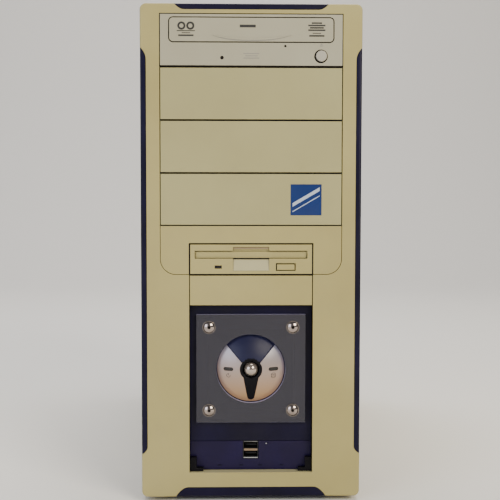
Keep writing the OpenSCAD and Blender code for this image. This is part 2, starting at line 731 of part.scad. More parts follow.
// Board sockets: processor, memory, expansion, ribbon and supply connectors, and a bridge chip
module board_sockets() color("#e8e4d8") {
  block(sink_x, face_x, cpu_y - 25, cpu_y + 25, cpu_z - 25, cpu_z + 25);
  for (i = [0, 1]) memory_socket(i);
  for (i = [0 : slot_count - 1]) difference() {
    block(face_x - 11, face_x, board_y - 100, board_y - 14, card_z(i) - 4, card_z(i) + 4);
    block(face_x - 12, face_x - 3, board_y - 98, board_y - 16, card_z(i) - 1.1, card_z(i) + 1.1);
  }
  for (z = lead_z) block(ribbon_x, face_x, lead_y - 4.5, lead_y + 4.5, z, z + 54);
  block(face_x - 12, face_x, plug_y - 5, plug_y + 5, board_z + 228, board_z + 280);
  block(face_x - 3, face_x, board_y - 160, board_y - 128, board_z + 30, board_z + 62);
}

memory_z = board_z + 126;
module_l = 133.2;
function memory_y(i) = board_front + 24 + 12 * i;
module memory_socket(i) difference() {
  block(face_x - 8, face_x, memory_y(i) - 3, memory_y(i) + 3, memory_z, memory_z + 142);
  block(face_x - 9, face_x - 3, memory_y(i) - 0.9, memory_y(i) + 0.9, memory_z + 4, memory_z + 138);
}

module memory_modules() color("#2c7a4b") for (i = [0, 1]) {
  block(face_x - 34, face_x - 3.2, memory_y(i) - 0.65, memory_y(i) + 0.65,
    memory_z + 4.4, memory_z + 4.4 + module_l);
  for (k = [0 : 7]) block(face_x - 27, face_x - 15, memory_y(i) - 1.8, memory_y(i) - 0.65,
    memory_z + 9 + 16 * k, memory_z + 20 + 16 * k);
}

sink_w = 64;
sink_h = 32;
fan_w = 60;
fan_t = 15;
fan_x = sink_x - sink_h;
module heatsink() color("#c9ccd0") {
  block(sink_x - 6, sink_x, cpu_y - sink_w / 2, cpu_y + sink_w / 2, cpu_z - sink_w / 2, cpu_z + sink_w / 2);
  for (i = [0 : 15]) let (y = cpu_y - sink_w / 2 + i * (sink_w - 1.4) / 15)
    block(fan_x, sink_x - 6, y, y + 1.4, cpu_z - sink_w / 2, cpu_z + sink_w / 2);
}

// Square fan frame with its motor post, and a rotor with n blades; both stand along +Z from 0
module fan_frame(w, t, post) difference() {
  union() {
    difference() {
      translate([-w / 2, -w / 2, 0]) cube([w, w, t]);
      translate([0, 0, -1]) cylinder(h = t + 2, r = w / 2 - 1.5);
    }
    cylinder(h = 2, r = post);
    for (a = [45 : 90 : 315]) rotate(a) translate([0, -2, 0]) cube([w / 2 + 1, 4, 2]);
    cylinder(h = t - 4, r = 2);
  }
  hole = w / 2 - 4.2;
  for (x = [-hole, hole], y = [-hole, hole]) translate([x, y, -1]) cylinder(h = t + 2, r = 1.8);
}

module fan_rotor(w, t, hub, n) difference() {
  union() {
    translate([0, 0, 2.6]) cylinder(h = t - 3, r = hub);
    for (i = [0 : n - 1]) rotate(i * 360 / n) translate([0, 0, t / 2 + 1]) rotate([35, 0, 0])
      translate([hub - 2, -0.6, -(t - 5) / 2]) cube([w / 2 - 3 - hub + 2, 1.2, t - 5]);
  }
  translate([0, 0, 1]) cylinder(h = t - 3, r = 2.3);
}

module on_heatsink() translate([fan_x, cpu_y, cpu_z]) rotate([0, -90, 0]) children();
module cpu_fan_frame() color("#222326") on_heatsink() fan_frame(fan_w, fan_t, 12);
module cpu_fan_rotor() color("#2f3034") on_heatsink() fan_rotor(fan_w, fan_t, 12, 7);

module expansion_card() color("#2a6f4a") {
  z = card_z(0);
  block(face_x - 62, face_x - 11.4, board_y - 150, board_y - 3, z - 0.8, z + 0.8);
  block(face_x - 12, face_x - 3.4, board_y - 97, board_y - 17, z - 0.8, z + 0.8);
  bracket(0);
  block(face_x - 52, face_x - 20, inner_rear - 12, inner_rear - bracket_t, z + 0.8, z + 12);
  block(face_x - 40, face_x - 16, board_y - 90, board_y - 66, z + 0.8, z + 3);
}

module rear_ports() color("#5b6068") for (p = ports) difference() {
  z = board_z + p[0];
  block(face_x - p[2], face_x, inner_rear - 16, inner_rear + port_lip, z, z + p[1]);
  block(face_x - p[2] + 2, face_x - 2, inner_rear - 8, inner_rear + port_lip + 1, z + 2, z + p[1] - 2);
}

// Power supply

supply_front = inner_rear - supply_d;

module supply_case() color("#aeb1b4") {
  difference() {
    slab(supply_w, supply_front, inner_rear, supply_z, supply_z + supply_h);
    slab(supply_w - 2, supply_front + 1, inner_rear - 1, supply_z + 1, supply_z + supply_h - 1);
    bar_y(supply_fan_x, supply_mid, 38, inner_rear - 2, inner_rear + 1);
    block(inlet_x - 14, inlet_x + 14, inner_rear - 2, inner_rear + 1, inlet_z - 10, inlet_z + 10);
    block(inlet_x - 7, inlet_x + 7, inner_rear - 2, inner_rear + 1, rocker_z - 10.4, rocker_z + 10.4);
    for (x = [-50 : 11 : 49])
      block(x, x + 6, supply_front - 1, supply_front + 2, supply_mid - 25, supply_mid + 25);
  }
  // ears that carry the rocker's pins
  for (x = [inlet_x - 9, inlet_x + 7.4]) difference() {
    block(x, x + 1.6, inner_rear - 9, inner_rear - 1, rocker_z - 4, rocker_z + 4);
    bar_x(inner_rear - 4, rocker_z, 1.3, x - 1, x + 3);
  }
  // stamped fan grille
  translate([supply_fan_x, inner_rear, supply_mid]) rotate([90, 0, 0]) {
    for (r = [10 : 7 : 31]) difference() {
      cylinder(h = 1, r = r);
      translate([0, 0, -1]) cylinder(h = 3, r = r - 1.6);
    }
    for (a = [0, 90]) rotate(a) translate([-38.5, -1, 0]) cube([77, 2, 1]);
  }
}

module behind_grille() translate([supply_fan_x, inner_rear - 1, supply_mid]) rotate([90, 0, 0]) children();
module facing_in() behind_grille() mirror([0, 0, 1]) translate([0, 0, -25]) children();
module supply_fan_frame() color("#222326") facing_in() fan_frame(80, 25, 16);
module supply_fan_rotor() color("#2f3034") facing_in() fan_rotor(80, 25, 16, 7);

module mains_inlet() color("#1d1d1f") {
  difference() {
    block(inlet_x - 13.6, inlet_x + 13.6, inner_rear - 22, inner_rear, inlet_z - 9.6, inlet_z + 9.6);
    block(inlet_x - 12, inlet_x + 12, inner_rear - 17, inner_rear + 1, inlet_z - 7.8, inlet_z + 7.8);
  }
  for (x = [-7, 0, 7]) block(inlet_x + x - 1, inlet_x + x + 1, inner_rear - 18, inner_rear - 3,
    inlet_z - 2 + (x == 0 ? 2 : -1), inlet_z + 2 + (x == 0 ? 2 : -1));
}

rocker_tilt = 10;
module mains_rocker() color("#232325") {
  translate([inlet_x - 6.4, inner_rear - 4, rocker_z]) rotate([-rocker_tilt, 0, 0]) rotate([90, 0, 90])
    linear_extrude(12.8) polygon([[-6, -6], [4.5, -8.2], [2.4, 0], [4.5, 8.2], [-6, 6]]);
  bar_x(inner_rear - 4, rocker_z, 1, inlet_x - 8.6, inlet_x + 8.6);
}

// Leads inside the case

// Point t of the way along a smooth curve with ends a and d and control points b and c
function curve(a, b, c, d, t) = pow(1 - t, 3) * a + 3 * pow(1 - t, 2) * t * b
  + 3 * (1 - t) * t * t * c + pow(t, 3) * d;
function unit(v) = v / norm(v);
// Closed skin over rings of n points each
module skin(rings) {
  n = len(rings[0]);
  m = len(rings);
  polyhedron(points = [for (r = rings) each r], faces = concat(
    [[for (i = [0 : n - 1]) i]],
    [for (k = [0 : m - 2], i = [0 : n - 1]) let (a = k * n + i, b = k * n + (i + 1) % n)
      [a, a + n, b + n, b]],
    [[for (i = [n - 1 : -1 : 0]) (m - 1) * n + i]]));
}

// Flat ribbon of width w along a curve, turning from lying across X to standing along Z
module ribbon(a, b, c, d, w) {
  steps = 16;
  skin([for (k = [0 : steps]) let (
    t = k / steps,
    p = curve(a, b, c, d, t),
    e = 0.01,
    dir = unit(curve(a, b, c, d, t + e) - curve(a, b, c, d, t - e)),
    turn = 90 * min(1, max(0, 1.25 * t)),
    across = unit(cross(cross(dir, [cos(turn), 0, sin(turn)]), dir)) * w / 2,
    thick = unit(cross(dir, across)) * 0.5
  ) [p + across + thick, p - across + thick, p - across - thick, p + across - thick]]);
}

// Round bundle of radius r along a curve
module bundle(a, b, c, d, r) {
  steps = 14;
  skin([for (k = [0 : steps]) let (
    t = k / steps,
    p = curve(a, b, c, d, t),
    dir = unit(curve(a, b, c, d, t + 0.01) - curve(a, b, c, d, t - 0.01)),
    u = unit(cross(dir, [0.3, 0.2, 1])),
    v = cross(dir, u)
  ) [for (i = [0 : 7]) p + r * (cos(45 * i) * u + sin(45 * i) * v)]]);
}

drive_back = optical_y + optical_d;
module ribbon_cables() color("#c9c7c0") {
  ribbon([-10, drive_back + 4, optical_z + 12], [-10, drive_back + 34, optical_z + 12],
    [ribbon_x - 80, lead_y, board_z + 160], [ribbon_x - 6, lead_y, board_z + 145], 48);
  ribbon([8, floppy_y + small_drive_d + 4, floppy_mid], [8, floppy_y + small_drive_d + 50, floppy_mid],
    [ribbon_x - 70, lead_y, board_z + 90], [ribbon_x - 6, lead_y, board_z + 87], 40);
  // plugs on the drives and on the board
  slab(50, drive_back, drive_back + 4, optical_z + 8, optical_z + 16);
  block(-14, 30, floppy_y + small_drive_d, floppy_y + small_drive_d + 4, floppy_mid - 4, floppy_mid + 4);
  for (z = lead_z) block(ribbon_x - 6, ribbon_x, lead_y - 4, lead_y + 4, z + 1, z + 53);
}

module power_harness() color("#3a3a3c") {
  bundle([20, supply_front - 0.5, supply_z + 12], [20, supply_front - 50, supply_z + 12],
    [face_x - 70, plug_y, board_z + 262], [face_x - 24, plug_y, board_z + 254], 5);
  block(face_x - 24, face_x - 12, plug_y - 4.5, plug_y + 4.5, board_z + 229, board_z + 279);
  bundle([-40, supply_front - 0.5, supply_z + 12], [-40, supply_front - 50, supply_z + 12],
    [-55, drive_back + 40, optical_z + 8], [-55, drive_back + 8, optical_z + 12], 3);
  block(-66, -44, drive_back, drive_back + 8, optical_z + 8, optical_z + 16);
}

bezel_shell();
drive_surround();
trim_left();
trim_right();
trim_top();
trim_bottom();
bay_cover_upper();
bay_cover_middle();
bay_cover_lower();
small_bay_cover();
control_panel();
usb_panel();
acrylic_plate();
plate_screws();
control_dome();
dome_wings();
indicator_lenses();
power_button();
usb_ports();
base_pan();
rear_panel();
front_frame();
top_cover();
board_tray();
large_drive_cage();
small_drive_cage();
left_side_panel();
right_side_panel();
left_thumb_screws();
right_thumb_screws();
feet();
slot_covers();
optical_case();
optical_bezel();
disc_tray();
tray_door();
optical_button();
disc_spindle();
tray_gear();
laser_sled();
floppy_case();
floppy_bezel();
floppy_flap();
floppy_button();
hard_disk();
motherboard();
board_sockets();
memory_modules();
heatsink();
cpu_fan_frame();
cpu_fan_rotor();
expansion_card();
rear_ports();
supply_case();
supply_fan_frame();
supply_fan_rotor();
mains_inlet();
mains_rocker();
ribbon_cables();
power_harness();
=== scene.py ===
"""Looks of a cream midi tower computer case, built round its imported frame."""

from __future__ import annotations

import json
import logging
import math
import random
from collections.abc import Callable, Iterable, Sequence
from dataclasses import dataclass
from enum import Enum

import bmesh
import bpy
from mathutils import Matrix, Vector


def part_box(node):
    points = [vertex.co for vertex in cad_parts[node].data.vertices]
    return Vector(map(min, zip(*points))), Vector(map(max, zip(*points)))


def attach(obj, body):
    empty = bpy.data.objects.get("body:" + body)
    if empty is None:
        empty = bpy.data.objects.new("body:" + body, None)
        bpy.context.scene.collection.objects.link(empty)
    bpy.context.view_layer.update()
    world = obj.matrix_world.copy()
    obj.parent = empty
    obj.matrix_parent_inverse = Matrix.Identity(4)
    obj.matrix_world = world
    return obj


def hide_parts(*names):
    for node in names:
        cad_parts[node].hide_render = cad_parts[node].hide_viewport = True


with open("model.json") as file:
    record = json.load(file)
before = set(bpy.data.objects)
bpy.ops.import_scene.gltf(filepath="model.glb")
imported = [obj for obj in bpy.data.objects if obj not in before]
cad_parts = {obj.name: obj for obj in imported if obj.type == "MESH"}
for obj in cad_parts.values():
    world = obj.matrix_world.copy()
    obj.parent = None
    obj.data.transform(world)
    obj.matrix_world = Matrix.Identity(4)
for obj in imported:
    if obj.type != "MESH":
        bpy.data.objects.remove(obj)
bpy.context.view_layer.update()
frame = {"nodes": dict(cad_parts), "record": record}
log = logging.getLogger("tower")

MM = 0.001
Point = tuple[float, float, float]
Inputs = dict[str, object]


# Small tools


def linear(code: str) -> tuple[float, float, float, float]:
    """Turn an sRGB hex colour into linear RGBA.

    Args:
        code: six hex digits, with or without a leading '#'.

    Returns:
        The linear colour with an alpha of 1.
    """
    digits = code.lstrip("#")
    parts = [int(digits[i : i + 2], 16) / 255 for i in (0, 2, 4)]
    r, g, b = (c / 12.92 if c <= 0.04045 else ((c + 0.055) / 1.055) ** 2.4 for c in parts)
    return (r, g, b, 1.0)


def add_node(
    tree: bpy.types.NodeTree,
    kind: str,
    settings: Inputs | None = None,
    links: dict[str | int, bpy.types.NodeSocket] | None = None,
) -> bpy.types.Node:
    """Add one shader node with its settings and its incoming links.

    Args:
        tree: the material's node tree.
        kind: the node's type, such as 'ShaderNodeTexNoise'.
        settings: attributes by name, and input values by socket name or number.
        links: source sockets by this node's input name or number.

    Returns:
        The new node.
    """
    node = tree.nodes.new(kind)
    for key, value in (settings or {}).items():
        if isinstance(key, str) and hasattr(node, key):
            setattr(node, key, value)
        else:
            node.inputs[key].default_value = value
    for key, source in (links or {}).items():
        tree.links.new(source, node.inputs[key])
    return node


def ramp(tree: bpy.types.NodeTree, source: bpy.types.NodeSocket, low: float, high: float,
         start: float = 0.0, end: float = 1.0) -> bpy.types.NodeSocket:
    """Map a value from one range to another and clamp it.

    Args:
        tree: the material's node tree.
        source: the value to map.
        low: value that gives start.
        high: value that gives end.
        start: result at low.
        end: result at high.

    Returns:
        The mapped value's socket.
    """
    node = add_node(tree, "ShaderNodeMapRange", {1: low, 2: high, 3: start, 4: end}, {0: source})
    return node.outputs[0]


def blend_colour(tree: bpy.types.NodeTree, factor: bpy.types.NodeSocket, a: object, b: object,
                 mode: str = "MIX") -> bpy.types.NodeSocket:
    """Mix two colours by a factor.

    Args:
        tree: the material's node tree.
        factor: how much of b shows.
        a: a linear colour or a socket.
        b: a linear colour or a socket.
        mode: the blend mode.

    Returns:
        The mixed colour's socket.
    """
    node = add_node(tree, "ShaderNodeMix", {"data_type": "RGBA", "blend_type": mode}, {0: factor})
    for index, value in ((6, a), (7, b)):
        if isinstance(value, bpy.types.NodeSocket):
            tree.links.new(value, node.inputs[index])
        else:
            node.inputs[index].default_value = value
    return node.outputs[2]


# Finishes


@dataclass(frozen=True)
class Finish:
    """A surface: what it is made of and how it was made.

    Every pattern reads Object coordinates, in metres, so a period of p millimetres is a scale of
    1000 / p.
    """

    name: str
    colour: str
    roughness: float = 0.5
    metallic: float = 0.0
    ior: float = 1.5
    tone: str = ""
    tone_mm: float = 60.0
    tone_amount: float = 0.0
    grain_mm: float = 0.6
    grain_depth: float = 0.0
    gloss_swing: float = 0.06
    dust: float = 0.0
    coat: float = 0.0
    shine: float = 0.5

    def start(self) -> tuple[bpy.types.Material, bpy.types.NodeTree, bpy.types.Node, bpy.types.NodeSocket]:
        """Make the material with its shader and give its tree, shader and Object coordinates."""
        material = bpy.data.materials.new(self.name)
        material.use_nodes = True
        tree = material.node_tree
        shader = tree.nodes["Principled BSDF"]
        shader.inputs["Metallic"].default_value = self.metallic
        if not self.metallic:
            shader.inputs["IOR"].default_value = self.ior
            shader.inputs["Specular IOR Level"].default_value = self.shine
        if self.coat:
            shader.inputs["Coat Weight"].default_value = self.coat
            shader.inputs["Coat Roughness"].default_value = 0.12
        where = add_node(tree, "ShaderNodeTexCoord").outputs["Object"]
        material.diffuse_color = linear(self.colour)
        return material, tree, shader, where

    def pattern(self, tree: bpy.types.NodeTree, where: bpy.types.NodeSocket) -> object:
        """Give the surface's colour, with its slow change of tone over tone_mm."""
        base = linear(self.colour)
        if not self.tone_amount:
            return base
        cloud = add_node(tree, "ShaderNodeTexNoise",
                         {"Scale": 1000 / self.tone_mm, "Detail": 4.0, "Roughness": 0.55},
                         {"Vector": where}).outputs[0]
        share = ramp(tree, cloud, 0.35, 0.72, 0.0, self.tone_amount)
        return blend_colour(tree, share, base, linear(self.tone or self.colour))

    def relief(self, tree: bpy.types.NodeTree, where: bpy.types.NodeSocket) -> bpy.types.NodeSocket | None:
        """Give the height of the surface's fine grain, between 0 and 1."""
        if not self.grain_depth:
            return None
        return add_node(tree, "ShaderNodeTexNoise",
                        {"Scale": 1000 / self.grain_mm, "Detail": 2.0, "Roughness": 0.6},
                        {"Vector": where}).outputs[0]

    def build(self) -> bpy.types.Material:
        """Build the material once and give it."""
        if self.name in bpy.data.materials:
            return bpy.data.materials[self.name]
        material, tree, shader, where = self.start()
        colour = self.pattern(tree, where)
        if self.dust:
            # Dust and handling marks lie in soft patches a hand wide
            patch = add_node(tree, "ShaderNodeTexNoise",
                             {"Scale": 1000 / 34, "Detail": 6.0, "Roughness": 0.7},
                             {"Vector": where}).outputs[0]
            colour = blend_colour(tree, ramp(tree, patch, 0.5, 0.8, 0.0, self.dust), colour, linear("8c8472"))
        if isinstance(colour, bpy.types.NodeSocket):
            tree.links.new(colour, shader.inputs["Base Color"])
        else:
            shader.inputs["Base Color"].default_value = colour
        if self.gloss_swing:
            sheen = add_node(tree, "ShaderNodeTexNoise", {"Scale": 1000 / 23, "Detail": 5.0},
                             {"Vector": where}).outputs[0]
            rough = ramp(tree, sheen, 0.3, 0.7, max(0.02, self.roughness - self.gloss_swing),
                         min(1.0, self.roughness + self.gloss_swing))
            tree.links.new(rough, shader.inputs["Roughness"])
        else:
            shader.inputs["Roughness"].default_value = self.roughness
        height = self.relief(tree, where)
        if height is not None:
            bump = add_node(tree, "ShaderNodeBump", {"Strength": 1.0, "Distance": self.grain_depth * MM},
                            {"Height": height})
            tree.links.new(bump.outputs[0], shader.inputs["Normal"])
        return material


@dataclass(frozen=True)
class GalvanisedSheet(Finish):
    """Hot-dip zinc on rolled steel: grey metal with faint crystal spangles about 9 mm wide."""

    spangle_mm: float = 9.0

    def pattern(self, tree: bpy.types.NodeTree, where: bpy.types.NodeSocket) -> object:
        """Give the zinc's colour, crystal by crystal."""
        crystal = add_node(tree, "ShaderNodeTexVoronoi", {"Scale": 1000 / self.spangle_mm}, {"Vector": where})
        split = add_node(tree, "ShaderNodeSeparateColor", None, {0: crystal.outputs["Color"]}).outputs[0]
        share = ramp(tree, split, 0.0, 1.0, 0.0, 0.5)
        return blend_colour(tree, share, linear(self.colour), linear(self.tone))


@dataclass(frozen=True)
class RolledSheet(Finish):
    """Bare rolled steel: fine streaks along the depth of the tower, a third of a millimetre apart."""

    streak_mm: float = 1.1

    def relief(self, tree: bpy.types.NodeTree, where: bpy.types.NodeSocket) -> bpy.types.NodeSocket | None:
        """Give the height of the rolling streaks."""
        flat = add_node(tree, "ShaderNodeMapping", {"Scale": (1.0, 0.02, 1.0)}, {"Vector": where}).outputs[0]
        return add_node(tree, "ShaderNodeTexNoise", {"Scale": 1000 / self.streak_mm, "Detail": 3.0},
                        {"Vector": flat}).outputs[0]


@dataclass(frozen=True)
class ClearSheet(Finish):
    """Cast acrylic: clear with a smoky grey tint and glossy faces."""

    haze: float = 0.25

    def build(self) -> bpy.types.Material:
        """Build the clear material once and give it."""
        if self.name in bpy.data.materials:
            return bpy.data.materials[self.name]
        material, tree, shader, where = self.start()
        shader.inputs["Base Color"].default_value = linear(self.colour)
        shader.inputs["Transmission Weight"].default_value = 1.0 - self.haze
        smear = add_node(tree, "ShaderNodeTexNoise", {"Scale": 1000 / 18, "Detail": 5.0}, {"Vector": where})
        tree.links.new(ramp(tree, smear.outputs[0], 0.35, 0.75, self.roughness, self.roughness + 0.02),
                       shader.inputs["Roughness"])
        return material


@dataclass(frozen=True)
class FlakeLacquer(Finish):
    """Silver lacquer: fine aluminium flake under a clear coat, flakes drawn 0.25 mm wide to show.

    Its lower half is painted tan between two heights: a painted reflection of a warm surface below it.
    """

    flake_mm: float = 0.25
    # foot: colour of the painted warm reflection on the lower half
    foot: str = ""
    reflection_from: float = 0.088
    reflection_to: float = 0.128

    def pattern(self, tree: bpy.types.NodeTree, where: bpy.types.NodeSocket) -> object:
        """Give the lacquer's colour, flake by flake, with the painted tan reflection on its lower half."""
        flakes = add_node(tree, "ShaderNodeTexVoronoi", {"Scale": 1000 / self.flake_mm}, {"Vector": where})
        split = add_node(tree, "ShaderNodeSeparateColor", None, {0: flakes.outputs["Color"]}).outputs[0]
        height = add_node(tree, "ShaderNodeSeparateXYZ", None, {0: where}).outputs[2]
        body = blend_colour(tree, ramp(tree, height, self.reflection_from, self.reflection_to), linear(self.foot),
                            linear(self.colour))
        return blend_colour(tree, ramp(tree, split, 0.0, 1.0, 0.0, 0.25), body, linear(self.tone))


@dataclass(frozen=True)
class SolderMask(Finish):
    """Green solder mask over copper: fine parallel traces 1.3 mm apart show through it."""

    trace_mm: float = 2.6

    def lines(self, tree: bpy.types.NodeTree, where: bpy.types.NodeSocket) -> bpy.types.NodeSocket:
        """Give 1 on a trace and 0 between traces; runs change direction from field to field."""
        fields = add_node(tree, "ShaderNodeTexVoronoi", {"Scale": 1000 / 26, "distance": "CHEBYCHEV"},
                          {"Vector": where})
        split = add_node(tree, "ShaderNodeSeparateColor", None, {0: fields.outputs["Color"]}).outputs[0]
        waves = []
        for axis in ("Y", "Z"):
            wave = add_node(tree, "ShaderNodeTexWave", {
                "wave_type": "BANDS", "bands_direction": axis, "Scale": 1000 / self.trace_mm / 3.14,
                "Distortion": 0.0}, {"Vector": where})
            waves.append(ramp(tree, wave.outputs[1], 0.62, 0.7))
        pick = add_node(tree, "ShaderNodeMath", {"operation": "GREATER_THAN", 1: 0.5}, {0: split}).outputs[0]
        mixed = add_node(tree, "ShaderNodeMix", {"data_type": "FLOAT"}, {0: pick, 2: waves[0], 3: waves[1]})
        return mixed.outputs[0]

    def pattern(self, tree: bpy.types.NodeTree, where: bpy.types.NodeSocket) -> object:
        """Give the mask's colour: lighter over the copper."""
        return blend_colour(tree, self.lines(tree, where), linear(self.colour), linear(self.tone))




@dataclass(frozen=True)
class Finishes:
    """Every finish of the tower, named for the real material and how its surface was made, or for the painted
    light or shade that it stands in for.
    """

    # Injection moulded ABS, spark-eroded tool: fine matt grain, yellowed unevenly by light
    cream_abs: Finish = Finish("abs_moulded_cream", "afa46b", 0.5, tone="9f9257", tone_mm=90,
                               tone_amount=0.55, grain_mm=0.5, grain_depth=0.035, dust=0.12)
    # The covers came from another mould batch: a little paler, the same matt grain
    pale_abs: Finish = Finish("abs_moulded_pale_cream", "aba575", 0.48, tone="a09868", tone_mm=80,
                              tone_amount=0.5, grain_mm=0.5, grain_depth=0.035, dust=0.10)
    # Drive fronts: greyer ABS with a smoother face
    drive_abs: Finish = Finish("abs_moulded_grey_beige", "aaa690", 0.42, tone="a09c82", tone_mm=60,
                               tone_amount=0.4, grain_mm=0.4, grain_depth=0.02, dust=0.06)
    # Eject button: the drive front's ABS, painted paler as a highlight for the light on its domed face
    button_abs: Finish = Finish("abs_painted_highlight_pale", "b1ad9e", 0.3, gloss_swing=0.05)
    # Dark blue ABS with a satin, lightly rubbed face
    navy_abs: Finish = Finish("abs_moulded_navy", "0b0820", 0.42, tone="130d36", tone_mm=40, tone_amount=0.6,
                              grain_mm=0.5, grain_depth=0.02, dust=0.02, shine=0.2)
    # The lower panel came from a more violet batch of the same ABS
    violet_navy: Finish = Finish("abs_moulded_violet_navy", "130a30", 0.4, tone="1b1042", tone_mm=30,
                                 tone_amount=0.6, grain_mm=0.5, grain_depth=0.02, dust=0.02, shine=0.25)
    # Walls of the joints between plastic parts: painted shade, nearly black, stands in for the shadow in the
    # gaps; the same paint lies in thin dark frames and rings, and is a painted dark reflection on the plate
    # screws' domes
    joint: Finish = Finish("abs_painted_shade_and_reflection", "171310", 0.8, gloss_swing=0.03, grain_mm=0.8,
                           grain_depth=0.03, shine=0.1)
    # High-gloss dark blue dome
    navy_gloss: Finish = Finish("abs_gloss_navy", "15173a", 0.42, tone="101129", tone_mm=30, tone_amount=0.5,
                                gloss_swing=0.04, shine=0.35)
    # The same gloss ABS where the dome turns black round the ball and down the spike
    black_gloss: Finish = Finish("abs_gloss_black", "07060c", 0.4, gloss_swing=0.04, shine=0.15)
    # Black ABS inside sockets and on fans, a fine even grain
    black_abs: Finish = Finish("abs_moulded_black", "1a1a1c", 0.5, grain_mm=0.6, grain_depth=0.03, dust=0.10)
    # Nickel and chromium plate: mirror with faint handling haze
    chrome: Finish = Finish("chromium_plate", "a89c96", 0.1, metallic=1.0, gloss_swing=0.03)
    # The ball's plate was buffed by use, so it scatters a little light
    worn_chrome: Finish = Finish("chromium_plate_worn", "b9aca2", 0.1, metallic=0.8, gloss_swing=0.03)
    # Palest cream ABS, painted light: it stands in for the light falling on the ledge below the controls and
    # on the sloping scoop below the disk slot
    painted_light_abs: Finish = Finish("abs_painted_light_cream", "b9b38a", 0.35, grain_mm=0.5, grain_depth=0.01)
    # Painted shadow: the same ABS painted taupe under the overhang above the disk slot
    shadow_taupe_abs: Finish = Finish("abs_painted_shadow_taupe", "8d7c5c", 0.6, grain_mm=0.5, grain_depth=0.02)
    # Silver lacquer on ABS, with a painted tan reflection on its lower half
    lacquer: Finish = FlakeLacquer("silver_flake_lacquer", "9c9ba6", 0.36, metallic=0.35, tone="8d8a8b",
                                   grain_mm=0.35, grain_depth=0.01, foot="bd9668")
    # Smoked lens of an indicator
    lens: Finish = Finish("lens_smoked", "1d1815", 0.2, ior=1.49, gloss_swing=0.03)
    # Cast acrylic with a smoky tint
    acrylic: Finish = ClearSheet("acrylic_cast_smoky", "56556c", 0.08, ior=1.49, haze=0.2)
    # Its sawn and flame-polished edges: a painted lilac highlight stands in for the light they gather
    acrylic_edge_highlight: Finish = Finish("acrylic_edge_painted_highlight", "b3b0d2", 0.18, ior=1.49, gloss_swing=0.04)
    # Galvanised steel of the chassis
    zinc: Finish = GalvanisedSheet("steel_galvanised", "9a9da0", 0.38, metallic=0.9, tone="84888c")
    # Rolled and zinc-plated covers of the drives
    drive_steel: Finish = RolledSheet("steel_rolled_plated", "a9abad", 0.36, metallic=1.0, grain_depth=0.01)
    # Cream powder coat: faint orange peel about 1.2 mm across
    powder: Finish = Finish("powder_coat_cream", "ada379", 0.5, tone="a2986c", tone_mm=120, tone_amount=0.4,
                            grain_mm=1.2, grain_depth=0.04, dust=0.12)
    # Black rubber of the feet
    rubber: Finish = Finish("rubber_moulded_black", "1c1b1b", 0.75, grain_mm=0.8, grain_depth=0.06, dust=0.3)
    # White acetal gear, waxy and faintly glossy
    acetal: Finish = Finish("acetal_moulded_white", "e4e3dc", 0.35, grain_mm=0.8, grain_depth=0.01)
    # Die-cast aluminium of the hard disk, painted black with a sandy grain
    casting: Finish = Finish("aluminium_die_cast", "6d7073", 0.5, metallic=0.8, tone="585b5f", tone_mm=12,
                             tone_amount=0.5, grain_mm=0.5, grain_depth=0.05)
    # Extruded aluminium of the heatsink
    fins: Finish = RolledSheet("aluminium_extruded", "c3c6ca", 0.32, metallic=1.0, grain_depth=0.015)
    # Solder mask over copper traces
    mask: Finish = SolderMask("solder_mask_green", "1d5a38", 0.28, tone="2f7a4d", gloss_swing=0.05)
    # Nylon of the sockets
    nylon: Finish = Finish("nylon_moulded_ivory", "e3dcc5", 0.45, grain_mm=0.7, grain_depth=0.02)
    # Epoxy of chips
    epoxy: Finish = Finish("epoxy_moulded_black", "202124", 0.55, grain_mm=0.3, grain_depth=0.02)
    # Plated connector shells
    shell_metal: Finish = Finish("steel_tin_plated", "b9bbbe", 0.25, metallic=1.0, gloss_swing=0.08)
    # The stamped bar between two sockets, tarnished to a warm tan
    brass_shade: Finish = Finish("steel_tarnished_tan", "8f7a62", 0.45, metallic=0.3)
    # Gold flash on contacts
    gold: Finish = Finish("gold_flash", "c9a24a", 0.25, metallic=1.0)
    # Grey ribbon with its marked first core
    ribbon_plain: Finish = Finish("pvc_ribbon_grey", "b7b6b0", 0.45, grain_mm=1.27, grain_depth=0.05)
    # Black sleeve of the power leads
    sleeve: Finish = Finish("pvc_sleeve_black", "202022", 0.4, grain_mm=1.0, grain_depth=0.02)
    # Dark ink of the printed marks
    ink: Finish = Finish("ink_pad_printed_dark", "2a2926", 0.6, gloss_swing=0.0)
    # Pale grey ink of faint marks; also the painted shadow under the tray door's finger lip
    faint_ink_and_shade: Finish = Finish("ink_printed_grey_and_painted_shade", "8e8b80", 0.6, gloss_swing=0.0)
    # Blue and white vinyl of the label
    blue_vinyl: Finish = Finish("vinyl_printed_blue", "072c6a", 0.35, tone="05235c", tone_mm=15,
                                tone_amount=0.6)
    white_vinyl: Finish = Finish("vinyl_printed_white", "b9c4d2", 0.35)
    # Coloured plastics of the rear sockets
    violet_abs: Finish = Finish("abs_moulded_violet", "6a4f9a", 0.4)
    blue_abs: Finish = Finish("abs_moulded_blue", "2f4f9a", 0.4)
    # Aluminium cans of capacitors
    can: Finish = Finish("aluminium_can", "a9abb0", 0.25, metallic=1.0)
    # Label stock, blank
    paper_label: Finish = Finish("paper_label_blank", "b4b0a4", 0.6, grain_mm=0.5, grain_depth=0.01)


FINISH = Finishes()


# Mesh tools, all in metres


def add_box(bm: bmesh.types.BMesh, low: Sequence[float], high: Sequence[float]) -> list[bmesh.types.BMVert]:
    """Add a box between two corners.

    Args:
        bm: the mesh to add to.
        low: lowest corner in millimetres.
        high: highest corner in millimetres.

    Returns:
        The box's vertices.
    """
    size = [(b - a) * MM for a, b in zip(low, high)]
    middle = [(a + b) / 2 * MM for a, b in zip(low, high)]
    place = Matrix.Translation(middle) @ Matrix.Diagonal((*size, 1.0))
    return bmesh.ops.create_cube(bm, size=1.0, matrix=place)["verts"]


